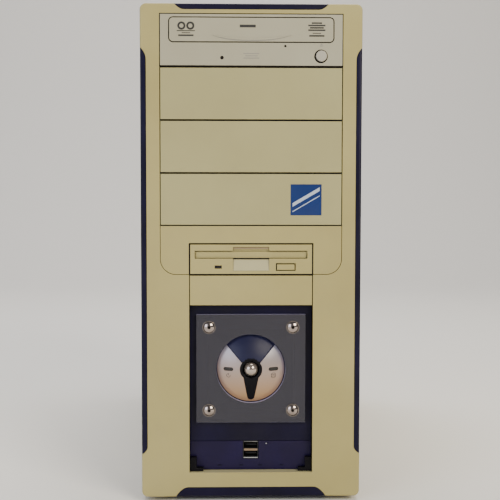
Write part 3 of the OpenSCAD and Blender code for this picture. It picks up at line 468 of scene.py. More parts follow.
class Axis(Enum):
    """The axis that a round shape stands on, numbered as a point's coordinates are."""

    X = 0
    Y = 1
    Z = 2


AXIS_TURNS: dict[Axis, Matrix] = {
    Axis.X: Matrix.Rotation(math.radians(90), 4, "Y"),
    Axis.Y: Matrix.Rotation(math.radians(90), 4, "X"),
    Axis.Z: Matrix.Identity(4),
}


def add_disc(bm: bmesh.types.BMesh, centre: Sequence[float], radius: float, length: float, axis: Axis,
             segments: int = 32, end_radius: float | None = None) -> list[bmesh.types.BMVert]:
    """Add a round bar or cone centred on a point.

    Args:
        bm: the mesh to add to.
        centre: its middle in millimetres.
        radius: radius at its low end in millimetres.
        length: length along its axis in millimetres.
        axis: the axis it is centred on.
        segments: sides of the circle.
        end_radius: radius at the other end, the same when left out.

    Returns:
        The bar's vertices.
    """
    place = Matrix.Translation([c * MM for c in centre]) @ AXIS_TURNS[axis]
    return bmesh.ops.create_cone(bm, cap_ends=True, segments=segments, radius1=radius * MM,
                                 radius2=(radius if end_radius is None else end_radius) * MM,
                                 depth=length * MM, matrix=place)["verts"]


def add_ring(bm: bmesh.types.BMesh, centre: Sequence[float], outer: float, inner: float, length: float,
             axis: Axis, segments: int = 40) -> None:
    """Add a flat ring, spun from its rectangular section.

    Args:
        bm: the mesh to add to.
        centre: its middle in millimetres.
        outer: outer radius in millimetres.
        inner: inner radius in millimetres.
        length: thickness in millimetres.
        axis: the axis it is centred on.
        segments: sides of the circle.
    """
    before = set(bm.verts)
    corners = [(inner, -length / 2), (outer, -length / 2), (outer, length / 2), (inner, length / 2)]
    verts = [bm.verts.new((r * MM, 0, h * MM)) for r, h in corners]
    edges = [bm.edges.new((verts[i], verts[(i + 1) % 4])) for i in range(4)]
    bmesh.ops.spin(bm, geom=verts + edges, cent=(0, 0, 0), axis=(0, 0, 1), angle=math.tau, steps=segments,
                   use_merge=True, use_duplicate=False)
    made = [v for v in bm.verts if v not in before]
    place = Matrix.Translation([c * MM for c in centre]) @ AXIS_TURNS[axis]
    bmesh.ops.transform(bm, matrix=place, verts=made)
    bmesh.ops.recalc_face_normals(bm, faces=list({f for v in made for f in v.link_faces}))


def add_plate(bm: bmesh.types.BMesh, outline: Iterable[tuple[float, float]], y: float, thick: float,
              ) -> list[bmesh.types.BMFace]:
    """Add a flat plate from an outline in X and Z, facing the front.

    Args:
        bm: the mesh to add to.
        outline: points in millimetres, in order.
        y: the plate's front in millimetres.
        thick: its thickness in millimetres.

    Returns:
        The plate's front face, in a list.
    """
    verts = [bm.verts.new((x * MM, y * MM, z * MM)) for x, z in outline]
    face = bm.faces.new(verts)
    made = bmesh.ops.extrude_face_region(bm, geom=[face])["geom"]
    moved = [g for g in made if isinstance(g, bmesh.types.BMVert)]
    bmesh.ops.translate(bm, vec=(0, thick * MM, 0), verts=moved)
    bmesh.ops.recalc_face_normals(bm, faces=bm.faces)
    return [face]


def soften(bm: bmesh.types.BMesh, width: float, segments: int = 2, angle: float = 35.0,
           where: Callable[[bmesh.types.BMEdge], bool] | None = None) -> None:
    """Round a mesh's sharp edges.

    Args:
        bm: the mesh.
        width: width of the rounding in millimetres.
        segments: steps of the rounding.
        angle: edges that turn more than this many degrees are sharp.
        where: further test that an edge must pass.
    """
    limit = math.radians(angle)
    edges = [e for e in bm.edges if len(e.link_faces) == 2 and e.calc_face_angle(0.0) > limit
             and (where is None or where(e))]
    if edges:
        bmesh.ops.bevel(bm, geom=edges, offset=width * MM, offset_type="OFFSET", segments=segments,
                        profile=0.5, affect="EDGES", clamp_overlap=True, material=-1)


def finish_piece(name: str, bm: bmesh.types.BMesh, finishes: Sequence[Finish], body: str,
                 nodes: Sequence[str] = (), sharp: float = 40.0) -> bpy.types.Object:
    """Turn a bmesh into a finished piece that rides on a body.

    Args:
        name: the piece's name.
        bm: its mesh, which is freed.
        finishes: its materials, in the order of the faces' material numbers.
        body: the body that it rides on.
        nodes: CAD nodes that it stands for.
        sharp: faces that meet at more than this many degrees keep a hard edge.

    Returns:
        The new object.
    """
    mesh = bpy.data.meshes.new(name)
    bm.to_mesh(mesh)
    bm.free()
    for finish in finishes:
        mesh.materials.append(finish.build())
    mesh.shade_smooth()
    mesh.set_sharp_from_angle(angle=math.radians(sharp))
    piece = bpy.data.objects.new(name, mesh)
    bpy.context.scene.collection.objects.link(piece)
    weighted = piece.modifiers.new("even_shading", "WEIGHTED_NORMAL")
    weighted.keep_sharp = True
    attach(piece, body)
    if nodes:
        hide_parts(*nodes)
    return piece


RECORD = frame["record"]
BODY_OF = {node: body for body, nodes in RECORD["behaviour"]["bodies"].items() for node in nodes}
Zone = tuple[Finish, Callable[[Vector, Vector], bool]]
EdgeTest = Callable[[bmesh.types.BMEdge], bool]


def cad_copy(node: str) -> bmesh.types.BMesh:
    """Give a merged copy of a CAD node's mesh with its flat faces made whole."""
    bm = bmesh.new()
    bm.from_mesh(frame["nodes"][node].data)
    bmesh.ops.remove_doubles(bm, verts=bm.verts, dist=2e-6)
    bmesh.ops.dissolve_limit(bm, angle_limit=math.radians(0.6), verts=bm.verts, edges=bm.edges)
    return bm


def dress(node: str, finish: Finish, width: float = 0.3, segments: int = 2, zones: Sequence[Zone] = (),
          first: tuple[float, int, EdgeTest] | None = None) -> bpy.types.Object:
    """Give a CAD node its finish and soft edges, as a piece that stands for it.

    Args:
        node: the CAD node.
        finish: its main finish.
        width: width of the edges' rounding in millimetres.
        segments: steps of that rounding.
        zones: further finishes, each with a test on a face's middle in millimetres and its normal.
        first: a wider rounding made before, as width, steps and a test of which edges it takes.

    Returns:
        The new piece.
    """
    bm = cad_copy(node)
    if first:
        soften(bm, first[0], first[1], where=first[2])
    if width:
        soften(bm, width, segments, where=lambda e: not first or e.calc_face_angle(0.0) > math.radians(60))
    for index, (_finish, test) in enumerate(zones, start=1):
        for face in bm.faces:
            if test(face.calc_center_median() / MM, face.normal):
                face.material_index = index
    return finish_piece(f"{node}_finished", bm, [finish, *[z[0] for z in zones]], BODY_OF[node],
                        [node])


def span(node: str) -> tuple[Vector, Vector]:
    """Give a CAD node's lowest and highest corners in millimetres."""
    low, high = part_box(node)
    return low / MM, high / MM


def middle(node: str) -> Vector:
    """Give the middle of a CAD node's box in millimetres."""
    low, high = span(node)
    return (low + high) / 2


# Sub-assemblies


def painted_shade_zone(face_y: float, reach: float = 12.0, facing: float = 0.99) -> Zone:
    """Give the zone of the walls that run back from a face into the joints round it, painted nearly black as
    shade.

    Args:
        face_y: the face's Y in millimetres.
        reach: how far back the joint is seen, in millimetres.
        facing: faces turned to the front more than this stay clean.

    Returns:
        The painted shade finish with its test.
    """
    def is_wall(p: Vector, normal: Vector) -> bool:
        """Tell whether a face is such a wall."""
        return abs(normal.y) < facing and face_y + 0.005 < p.y < face_y + reach

    return FINISH.joint, is_wall


def painted_shade_frame(name: str, node: str, wide: tuple[float, float, float, float]) -> None:
    """Lay a thin dark frame of painted shade in the joints round a rectangular front.

    Args:
        name: the piece's name.
        node: the front that it goes round.
        wide: the shade's width at the left, right, bottom and top, in millimetres.
    """
    low, high = span(node)
    left, right, bottom, top = wide
    y0, y1 = low.y - 0.03, low.y + 0.9
    slack = 0.3
    bm = bmesh.new()
    for x0, x1, z0, z1 in (
        (low.x - slack, low.x - slack + left, low.z - slack, high.z + slack),
        (high.x + slack - right, high.x + slack, low.z - slack, high.z + slack),
        (low.x - slack, high.x + slack, low.z - slack, low.z - slack + bottom),
        (low.x - slack, high.x + slack, high.z + slack - top, high.z + slack),
    ):
        add_box(bm, (x0, y0, z0), (x1, y1, z1))
    soften(bm, 0.02, 1)
    finish_piece(name, bm, [FINISH.joint], "case")


@dataclass
class Bezel:
    """The cream plastic front with its trims, surround and covers."""

    edge_round: float = 2.4
    cover_round: float = 0.5
    label_size: float = 25.4
    label_x: float = 45.0

    def outline_edge(self, edge: bmesh.types.BMEdge) -> bool:
        """Tell whether an edge lies on the bezel's outer front outline."""
        low, high = span("bezel_shell")
        ends = [v.co / MM for v in edge.verts]
        if any(p.y > low.y + 0.6 for p in ends):
            return False
        reach = 5.2
        inside = [low.x + reach < p.x < high.x - reach and low.z + reach < p.z < high.z - reach for p in ends]
        on_rim = [min(p.x - low.x, high.x - p.x, p.z - low.z, high.z - p.z) < 0.35
                  or (min(p.x - low.x, high.x - p.x) < reach and min(p.z - low.z, high.z - p.z) < reach)
                  for p in ends]
        return not any(inside) and all(on_rim)

    def build_shell(self) -> None:
        """Build the shell with its soft outer edge and the surround of the small bays."""
        low = span("bezel_shell")[0]
        wall_depth = 14
        half = span("bay_cover_lower")[1].x + 1.5
        ledge = span("usb_panel")[0].z + 1.0
        roof = span("optical_bezel")[1].z + 2.0

        def is_opening(p: Vector, normal: Vector) -> bool:
            """Tell whether a face is a wall of the openings for the drives and the controls, which gets
            painted shade.
            """
            return (abs(normal.y) < 0.85 and low.y + 0.03 < p.y < low.y + wall_depth and abs(p.x) < half
                    and ledge < p.z < roof)

        def is_ledge(p: Vector, normal: Vector) -> bool:
            """Tell whether a face is the ledge below the controls, which gets painted light."""
            return (normal.z > 0.7 and abs(p.z - ledge) < 3 and abs(p.x) < half
                    and low.y < p.y < low.y + wall_depth)

        dress("bezel_shell", FINISH.cream_abs, 0.35, 3,
              [(FINISH.joint, is_opening), (FINISH.painted_light_abs, is_ledge)],
              first=(self.edge_round, 5, self.outline_edge))
        face = span("drive_surround")[0].y
        dress("drive_surround", FINISH.cream_abs, 0.4, 3, [painted_shade_zone(face, facing=0.85)])

    def build_trims(self) -> None:
        """Build the four dark blue trims, rounded like the shell beside them."""
        for side in ("left", "right", "top", "bottom"):
            node = f"trim_{side}"
            low, high = span(node)
            outer = {"left": (0, low.x), "right": (0, high.x), "top": (2, high.z), "bottom": (2, low.z)}[side]

            def on_outer_front(edge: bmesh.types.BMEdge, axis: int = outer[0], value: float = outer[1],
                               face: float = low.y) -> bool:
                """Tell whether an edge lies on the trim's outer front edge."""
                return all(abs(v.co[axis] / MM - value) < 0.05 and v.co.y / MM < face + 0.05
                           for v in edge.verts)

            dress(node, FINISH.navy_abs, 0.25, 2, first=(1.9, 5, on_outer_front))

    def build_covers(self) -> None:
        """Build the three large covers and the small one."""
        for node in ("bay_cover_upper", "bay_cover_middle", "bay_cover_lower"):
            dress(node, FINISH.pale_abs, self.cover_round, 3, [painted_shade_zone(span(node)[0].y)])
        node = "small_bay_cover"
        dress(node, FINISH.cream_abs, self.cover_round, 3, [painted_shade_zone(span(node)[0].y)])

    def build_label(self) -> None:
        """Build the square blue label with two plain white bands on the lowest large cover."""
        low, high = span("bay_cover_lower")
        half = self.label_size / 2
        z = (low.z + high.z) / 2 - 0.3
        back = low.y
        left, right = self.label_x - half, self.label_x + half
        bm = bmesh.new()
        add_box(bm, (left, back - 0.28, z - half), (right, back - 0.02, z + half))
        soften(bm, 0.12, 2)
        finish_piece("maker_label", bm, [FINISH.blue_vinyl], "case")
        bm = bmesh.new()
        margin, rise = 1.6, 6.5
        reach = half - margin
        wide_band, thin_band = (0.8, 3.0), (-3.6, 0.8)
        for drop, thick in (wide_band, thin_band):
            corners = [(-reach, drop - rise), (reach, drop + rise), (reach, drop + rise + thick),
                       (-reach, drop - rise + thick)]
            add_plate(bm, [(self.label_x + u, z + v) for u, v in corners], back - 0.34, 0.08)
        finish_piece("maker_label_stripes", bm, [FINISH.white_vinyl], "case")

    def build(self) -> None:
        """Build the whole plastic front."""
        self.build_shell()
        self.build_trims()
        self.build_covers()
        self.build_label()


@dataclass
class ControlPanel:
    """The recess with the clear plate, the dome with its wings, the ball and the two sockets."""

    screw_rim: float = 5.2
    screw_ring: tuple[float, float, float] = (5.25, 4.95, 0.34)
    stop_places: tuple[float, ...] = (-26, -8, 8, 26)
    pin_x: float = 13.0
    pin_r: float = 0.6
    mark_drop: float = 5.4
    mark_line: float = 0.36
    drum_line: float = 0.32
    drum_half: float = 1.7
    mark_radius: float = 1.5
    ring_span: float = 280.0
    ring_start: float = 1.57
    indicator_x: float = 18.7
    cap_height: float = 9.0
    cap_radius: float = 28.0

    def cap_y(self, x: float, z: float) -> float:
        """Give the dome's surface at a point, as Y in millimetres.

        Args:
            x: distance to the right of the dome's axis.
            z: height above the dome's axis.

        Returns:
            The Y of the dome's skin there.
        """
        ball = (self.cap_radius**2 + self.cap_height**2) / (2 * self.cap_height)
        root = span("control_panel")[0].y
        return root - self.cap_height + ball - math.sqrt(ball**2 - x * x - z * z)

    def build_panels(self) -> None:
        """Build the dark blue panels, the sockets and the clear plate."""
        face = span("control_panel")[0].y
        dress("control_panel", FINISH.navy_abs, 0.25)
        dress("usb_panel", FINISH.violet_navy, 0.25, zones=[
            (FINISH.black_gloss, lambda p, _n: p.y < face - 0.3)])
        low, high = span("usb_ports")
        centre = (low.z + high.z) / 2
        # The sockets are all black: their plastic tongues are black, and their metal shells are painted black
        # as shade.
        dress("usb_ports", FINISH.black_abs, 0.0)
        bm = bmesh.new()
        add_box(bm, (low.x + 0.5, low.y - 0.1, centre - 0.95), (high.x - 0.5, low.y + 1.6, centre + 0.95))
        soften(bm, 0.3, 2)
        finish_piece("socket_bar", bm, [FINISH.brass_shade], "case")
        bm = bmesh.new()
        add_box(bm, (low.x + 0.3, low.y - 0.1, low.z + 0.15), (high.x - 0.3, low.y + 1.6, low.z + 1.05))
        add_box(bm, (low.x + 0.6, low.y - 0.05, high.z - 0.6), (high.x - 0.6, low.y + 1.6, high.z - 0.2))
        soften(bm, 0.15, 2)
        finish_piece("socket_lips", bm, [FINISH.shell_metal], "case")
        low, high = span("acrylic_plate")
        centre_of_plate = middle("acrylic_plate")
        # The plate's top and bottom edges and the wall of its hole get a painted lilac highlight.
        dress("acrylic_plate", FINISH.acrylic, 0.5, 3, [
            (FINISH.acrylic_edge_highlight, lambda p, n: abs(n.z) > 0.5 and (p.z < low.z + 0.4 or p.z > high.z - 0.4)
             or abs(n.y) < 0.85 and math.hypot(p.x, p.z - centre_of_plate.z) < 30)])
        screw_x = span("plate_screws")[1].x - self.screw_rim
        bm = bmesh.new()
        for x in (-screw_x, screw_x):
            for z in (centre_of_plate.z - screw_x, centre_of_plate.z + screw_x):
                add_ring(bm, (x, low.y - 1.0, z), *self.screw_ring, Axis.Y)
        soften(bm, 0.06, 2)
        finish_piece("screw_rings", bm, [FINISH.worn_chrome], "case")
        middle_z = centre_of_plate.z

        def from_screw(p: Vector) -> float:
            """Give the distance from the nearest screw's axis."""
            return math.hypot(abs(p.x) - screw_x, abs(p.z - middle_z) - screw_x)

        # Each plate screw gets a black ring of painted shade round its dome and a painted dark reflection on
        # the middle of the dome.
        dress("plate_screws", FINISH.chrome, 0.12, 2, [
            (FINISH.black_gloss, lambda p, n: abs(n.y) > 0.95 and low.y - 1.2 < p.y < low.y - 0.8),
            (FINISH.joint, lambda p, _n: from_screw(p) < 1.5 and low.y - 3.5 <= p.y < low.y - 1.5)])

    def build_dome(self) -> None:
        """Build the dome, its silver wings, the lenses and the ball."""
        centre = middle("acrylic_plate")
        hub = 9.3
        dress("control_dome", FINISH.navy_gloss, 0.0, zones=[
            (FINISH.black_gloss, lambda p, _n: math.hypot(p.x, p.z - centre.z) < hub or p.z < centre.z - 4)])
        # The wings' lower half carries the lacquer's painted tan reflection.
        dress("dome_wings", FINISH.lacquer, 0.2, 2)
        dress("indicator_lenses", FINISH.lens, 0.1)
        dress("power_button", FINISH.worn_chrome, 0.0)

    def build_marks(self) -> None:
        """Print the small marks under the lenses: a broken ring at the left, a drum at the right."""
        centre = middle("acrylic_plate")
        bm = bmesh.new()

        def print_bar(x0: float, z0: float, x1: float, z1: float, wide: float) -> None:
            """Lay a thin printed bar from one point to another on the dome."""
            run = Vector((x1 - x0, z1 - z0)).normalized()
            off = Vector((-run.y, run.x)) * wide / 2
            corners = [(x0 + off.x, z0 + off.y), (x0 - off.x, z0 - off.y),
                       (x1 - off.x, z1 - off.y), (x1 + off.x, z1 + off.y)]
            verts = [bm.verts.new(((x + centre.x) * MM, (self.cap_y(x, z) - 0.06) * MM, (z + centre.z) * MM))
                     for x, z in corners]
            bm.faces.new(verts)

        z = -self.mark_drop
        turns = 14
        r = self.mark_radius
        for i in range(turns):
            a, b = (math.radians(self.ring_span / turns * k) + self.ring_start for k in (i, i + 1))
            print_bar(-self.indicator_x + r * math.cos(a), z + r * math.sin(a),
                      -self.indicator_x + r * math.cos(b), z + r * math.sin(b), self.mark_line)
        print_bar(-self.indicator_x, z + 0.2, -self.indicator_x, z + 1.9, self.mark_line)
        for level in (1.3, -1.3):
            for i in range(turns):
                a, b = (math.tau * k / turns for k in (i, i + 1))
                print_bar(self.indicator_x + self.drum_half * math.cos(a), z + level + 0.7 * math.sin(a),
                          self.indicator_x + self.drum_half * math.cos(b), z + level + 0.7 * math.sin(b),
                          self.drum_line)
        for side in (-self.drum_half, self.drum_half):
            print_bar(self.indicator_x + side, z - 1.3, self.indicator_x + side, z + 1.3, self.drum_line)
        bmesh.ops.recalc_face_normals(bm, faces=bm.faces)
        bmesh.ops.solidify(bm, geom=bm.faces[:], thickness=0.05 * MM)
        finish_piece("indicator_marks", bm, [FINISH.ink], "case")

    def build_socket_details(self) -> None:
        """Build the lower panel's small screw and the flap stops along its lower edge."""
        low, high = span("usb_panel")
        face = span("control_panel")[0].y
        bm = bmesh.new()
        add_disc(bm, (self.pin_x, face - 0.15, high.z - 2.0), self.pin_r, 0.7, Axis.Y, 16)
        soften(bm, 0.2, 2)
        finish_piece("panel_pin", bm, [FINISH.shell_metal], "case")
        bm = bmesh.new()
        for x in self.stop_places:
            add_box(bm, (x - 1.6, face - 0.5, low.z + 3.4), (x + 1.6, face + 0.3, low.z + 4.4))
        soften(bm, 0.2, 2)
        finish_piece("flap_stops", bm, [FINISH.navy_abs], "case")

    def build(self) -> None:
        """Build the whole control recess."""
        self.build_panels()
        self.build_dome()
        self.build_marks()
        self.build_socket_details()


@dataclass
class OpticalDrive:
    """The optical drive: case, front, tray with its door, button, gear, spindle and laser sled."""

    symbol: float = 2.6
    symbol_rise: float = 8.6
    mark_inset: float = 14
    lip_width: float = 64.0

    def build_front(self) -> None:
        """Build the front, the tray door with its finger lip and the eject button."""
        for node, width in (("optical_bezel", 0.5), ("tray_door", 0.5)):
            dress(node, FINISH.drive_abs, width, 3, [painted_shade_zone(span(node)[0].y)])
        # The eject button's paler finish is a painted highlight for the light on its domed face.
        dress("optical_button", FINISH.button_abs, 1.1, 5)
        low = span("tray_door")[0]
        bm = bmesh.new()
        steps = 24
        half = self.lip_width / 2
        arc = [(-half + self.lip_width * i / steps) for i in range(steps + 1)]
        upper = [(x, low.z + 5.6 - 2.6 * (1 - (x / half) ** 2)) for x in arc]
        lower = [(x, z - 1.3 * (1 - (x / half) ** 4) - 0.05) for x, z in reversed(upper)]
        add_plate(bm, upper + lower, low.y - 0.42, 0.5)
        soften(bm, 0.35, 3, 50)
        finish_piece("tray_door_lip", bm, [FINISH.drive_abs], BODY_OF["tray_door"])
        # Painted shadow: a thin grey crescent under the finger lip.
        bm = bmesh.new()
        below = [(x, z - 0.75 * (1 - (x / half) ** 4) - 0.04) for x, z in lower]
        add_plate(bm, lower + list(reversed(below)), low.y - 0.12, 0.2)
        finish_piece("tray_door_lip_shade", bm, [FINISH.faint_ink_and_shade], BODY_OF["tray_door"])

    def build_marks(self) -> None:
        """Print plain marks: rings and bars on the door, an eject sign and bars on the front."""
        low, high = span("tray_door")
        z = (low.z + high.z) / 2 + 1.2
        bm = bmesh.new()
        front, back = low.y - 0.08, low.y + 0.02
        left, right = low.x + self.mark_inset, high.x - self.mark_inset
        for x in (left, right):
            add_box(bm, (x - 6.2, front, z - 6.6), (x + 6.2, back, z - 5.3))
            add_box(bm, (x - 3.4, front, z - 4.2), (x + 3.4, back, z - 3.6))
        for x in (left - 3.6, left + 3.6):
            add_ring(bm, (x, low.y - 0.03, z + 1.8), 3.3, 1.7, 0.1, Axis.Y)
        add_box(bm, (left - 7.4, front, z - 2.6), (left + 7.4, back, z - 1.9))
        for step, side in enumerate((7.0, 5.6, 7.0, 4.2)):
            level = z - 2.0 + 1.9 * step
            add_box(bm, (right - side, front, level), (right + side, back, level + 1.2))
        add_box(bm, (-9.5, front, high.z - 8.2), (3.5, back, high.z - 6.0))
        finish_piece("tray_door_marks", bm, [FINISH.ink], BODY_OF["tray_door"])
        # Painted shade: a thin dark frame in the joints round the optical drive's front.
        painted_shade_frame("optical_joint_shade", "optical_bezel", (0.75, 0.7, 1.25, 0.75))
        face = span("optical_bezel")[0].y
        button = middle("optical_button")
        bm = bmesh.new()
        s = self.symbol / 2
        top = button.z + self.symbol_rise
        add_plate(bm, [(button.x - s, top), (button.x + s, top), (button.x, top + s * 1.3)], face - 0.06, 0.1)
        add_plate(bm, [(button.x - s, top - 0.9), (button.x + s, top - 0.9), (button.x + s, top - 0.4),
                       (button.x - s, top - 0.4)], face - 0.06, 0.1)
        for step, side in enumerate((6.4, 5.0, 6.4)):
            level = button.z - 2.2 + 1.8 * step
            add_box(bm, (-side, face - 0.06, level), (side, face + 0.04, level + 0.7))
        finish_piece("optical_bezel_marks", bm, [FINISH.faint_ink_and_shade], "case")
        # Painted shade: a dark ring round the eject button, wider at its lower left, and a dark disc in the
        # pinhole.
        bm = bmesh.new()
        add_ring(bm, (button.x - 0.35, face + 0.02, button.z - 0.3), 5.5, 4.4, 0.12, Axis.Y)
        add_disc(bm, (27.6, face + 0.1, button.z + 7.9), 0.95, 0.36, Axis.Y, 20)
        finish_piece("optical_bezel_shades", bm, [FINISH.joint], "case")
        bm = bmesh.new()
        add_disc(bm, (-23.9, face + 1.2, button.z - 1.6), 1.45, 2.4, Axis.Y, 24)
        finish_piece("optical_lens", bm, [FINISH.lens], "case")

    def build_works(self) -> None:
        """Build the case, tray, gear, spindle and sled behind the front."""
        dress("optical_case", FINISH.drive_steel, 0.25)
        dress("disc_tray", FINISH.black_abs, 0.35, 3)
        dress("tray_gear", FINISH.acetal, 0.12)
        dress("disc_spindle", FINISH.drive_steel, 0.3, 3)
        dress("laser_sled", FINISH.black_abs, 0.3)
        low, high = span("optical_case")
        bm = bmesh.new()
        for side, x in ((-1, low.x), (1, high.x)):
            for y in (low.y + 45, low.y + 125):
                add_disc(bm, (x + side * 0.12, y, low.z + 10), 2.6, 0.24, Axis.X, 20)
        finish_piece("optical_side_screws", bm, [FINISH.chrome], "case")
        bm = bmesh.new()
        top = high.z + 0.08
        add_box(bm, (-45, low.y + 60, top - 0.1), (45, low.y + 130, top))
        finish_piece("optical_blank_label", bm, [FINISH.paper_label], "case")

    def build(self) -> None:
        """Build the whole drive."""
        self.build_front()
        self.build_marks()
        self.build_works()


@dataclass
class FloppyDrive:
    """The floppy drive with its flap, button, lamp and sloping finger scoop."""

    scoop_half: float = 14.7
    field_half: float = 9.8
    lens_left: float = -29.8
    lens_right: float = -24.4

    def build(self) -> None:
        """Build the whole drive."""
        for node, width in (("floppy_bezel", 0.5), ("floppy_button", 0.4)):
            dress(node, FINISH.cream_abs, width, 3, [painted_shade_zone(span(node)[0].y)])
        dress("floppy_flap", FINISH.cream_abs, 0.3, 2)
        dress("floppy_case", FINISH.drive_steel, 0.25)
        # Painted shade: a thin dark frame in the joints round the floppy drive's front.
        painted_shade_frame("floppy_joint_shade", "floppy_bezel", (1.1, 0.95, 0.8, 1.1))
        low = span("floppy_bezel")[0]
        flap_low = span("floppy_flap")[0]
        # The sloping scoop below the disk slot is painted light, standing in for the light that falls on it
        # from above.
        bm = bmesh.new()
        sill = flap_low.z - 0.9
        foot = middle("floppy_bezel").z - self.field_half
        section = [(1.75, sill), (1.75, foot), (0.15, foot), (1.25, sill)]
        verts = [bm.verts.new((-self.scoop_half * MM, (low.y + y) * MM, z * MM)) for y, z in section]
        face = bm.faces.new(verts)
        made = bmesh.ops.extrude_face_region(bm, geom=[face])["geom"]
        moved = [g for g in made if isinstance(g, bmesh.types.BMVert)]
        bmesh.ops.translate(bm, vec=(2 * self.scoop_half * MM, 0, 0), verts=moved)
        bmesh.ops.recalc_face_normals(bm, faces=bm.faces)
        soften(bm, 0.15, 2)
        finish_piece("floppy_scoop", bm, [FINISH.painted_light_abs], "case")
        # A dark bar of painted shade along the top of the scoop, under the flap.
        bm = bmesh.new()
        add_box(bm, (-self.scoop_half, low.y + 0.3, sill), (self.scoop_half, low.y + 1.7, sill + 0.55))
        soften(bm, 0.1, 2)
        finish_piece("floppy_scoop_edge_shade", bm, [FINISH.joint], "case")
        # A taupe bar of painted shadow under the overhang above the disk slot.
        bm = bmesh.new()
        crown = middle("floppy_bezel").z + self.field_half
        reach = self.scoop_half - 0.2
        add_box(bm, (-reach, low.y + 0.5, crown - 1.7), (reach, low.y + 1.7, crown - 0.2))
        soften(bm, 0.2, 2)
        finish_piece("floppy_overhang_painted_shadow", bm, [FINISH.shadow_taupe_abs], "case")
        button = middle("floppy_button")
        bm = bmesh.new()
        add_box(bm, (self.lens_left, low.y + 0.7, button.z - 1.1),
                (self.lens_right, low.y + 3.5, button.z + 1.1))
        soften(bm, 0.2, 2)
        finish_piece("floppy_lens", bm, [FINISH.lens], "case")


@dataclass
class Chassis:
    """The steel box, its cages, side panels, feet and fasteners."""

    screw_r: float = 3.3
    head_tall: float = 1.8
    head_taper: float = 0.72
    slot_pitch: float = 20.32
    slot_count: int = 6
    corner_inset: float = 6.0
    platter_y: float = 50

    def add_screws(self, bm: bmesh.types.BMesh, places: Iterable[Point], axis: Axis, out: float) -> None:
        """Add small pan-head screws with a crossed recess.

        Args:
            bm: the mesh to add to.
            places: where each head meets its sheet, in millimetres.
            axis: the screws' axis.
            out: 1 or -1, which way along the axis the heads stand.
        """
        index = axis.value
        for place in places:
            centre = list(place)
            centre[index] += out * self.head_tall / 2
            near, far = self.screw_r, self.screw_r * self.head_taper
            if (out > 0) != (axis is not Axis.Y):
                near, far = far, near
            add_disc(bm, centre, near, self.head_tall, axis, 20, far)
            centre[index] += out * 0.92
            for turn in (0, 1):
                size = [1.4 * self.screw_r, 0.55] if turn else [0.55, 1.4 * self.screw_r]
                half = [0.0, 0.0, 0.0]
                others = [i for i in range(3) if i != index]
                half[others[0]], half[others[1]], half[index] = size[0] / 2, size[1] / 2, 0.06
                add_box(bm, [c - h for c, h in zip(centre, half)], [c + h for c, h in zip(centre, half)])

    def build_steel(self) -> None:
        """Build the sheet steel pieces with their thin rounded edges."""
        for node in ("base_pan", "rear_panel", "front_frame", "board_tray", "large_drive_cage",
                     "small_drive_cage", "slot_covers"):
            dress(node, FINISH.zinc, 0.2, 1)
        for node in ("top_cover", "left_side_panel", "right_side_panel"):
            dress(node, FINISH.powder, 0.4, 3)
        for node in ("left_thumb_screws", "right_thumb_screws"):
            dress(node, FINISH.chrome, 0.25, 2)
        dress("feet", FINISH.rubber, 1.2, 3)

    def build_fasteners(self) -> None:
        """Build the screws that hold the supply, the card brackets, the cages and the drives."""
        rear = span("rear_panel")[1].y
        supply_low, supply_high = span("supply_case")
        left, right = supply_low.x + self.corner_inset, supply_high.x - self.corner_inset
        floor, roof = supply_low.z + self.corner_inset, supply_high.z - self.corner_inset
        bm = bmesh.new()
        corners = [(left, roof), (right, roof), (left, floor + 10), (right, floor)]
        self.add_screws(bm, [(x, rear, z) for x, z in corners], Axis.Y, 1)
        finish_piece("supply_screws", bm, [FINISH.chrome], "case")
        cover_low = span("slot_covers")[0]
        top = span("expansion_card")[1].z - 3.0
        bm = bmesh.new()
        places = [(cover_low.x + 3.0, cover_low.y, top - self.slot_pitch * i) for i in range(self.slot_count)]
        self.add_screws(bm, places, Axis.Y, -1)
        finish_piece("bracket_screws", bm, [FINISH.chrome], "case")
        bm = bmesh.new()
        disk_low = span("hard_disk")[0]
        cage_low, cage_high = span("small_drive_cage")
        for side, x in ((-1, cage_low.x), (1, cage_high.x)):
            self.add_screws(bm, [(x, disk_low.y + y, disk_low.z + 7) for y in (28, 100)], Axis.X, side)
        big_low, big_high = span("large_drive_cage")
        for side, x in ((-1, big_low.x), (1, big_high.x)):
            self.add_screws(bm, [(x, big_low.y + y, big_high.z - 34) for y in (22, 98)], Axis.X, side)
        finish_piece("cage_screws", bm, [FINISH.chrome], "case")

    def build_hard_disk(self) -> None:
        """Build the hard disk: cast body, ribbed lid, cover screws and its circuit board."""
        dress("hard_disk", FINISH.casting, 0.5, 3)
        low, high = span("hard_disk")
        bm = bmesh.new()
        lid_top = high.z - 0.8
        for outer, inner, sides in ((30, 28, 48), (14.5, 13.2, 40)):
            add_ring(bm, (0, low.y + self.platter_y, lid_top + 0.15), outer, inner, 0.3, Axis.Z, sides)
        finish_piece("hard_disk_rings", bm, [FINISH.drive_steel], "case")
        bm = bmesh.new()
        half = 42.0
        places = [(x, low.y + y, lid_top - 1.7) for x in (-half, half) for y in (9, 47, 85)]
        self.add_screws(bm, places, Axis.Z, 1)
        finish_piece("hard_disk_screws", bm, [FINISH.chrome], "case")
        bm = bmesh.new()
        add_box(bm, (-30, low.y + 100, lid_top - 1.9), (34, low.y + 138, lid_top - 1.75))
        soften(bm, 0.05, 1)
        finish_piece("hard_disk_label", bm, [FINISH.paper_label], "case")
        bm = bmesh.new()
        add_box(bm, (-30, high.y - 1.6, low.z + 4), (22, high.y - 0.05, low.z + 12))
        soften(bm, 0.3, 2)
        add_box(bm, (26, high.y - 1.6, low.z + 4), (46, high.y - 0.05, low.z + 13))
        finish_piece("hard_disk_sockets", bm, [FINISH.black_abs], "case")

    def build(self) -> None:
        """Build the whole chassis."""
        self.build_steel()
        self.build_fasteners()
        self.build_hard_disk()


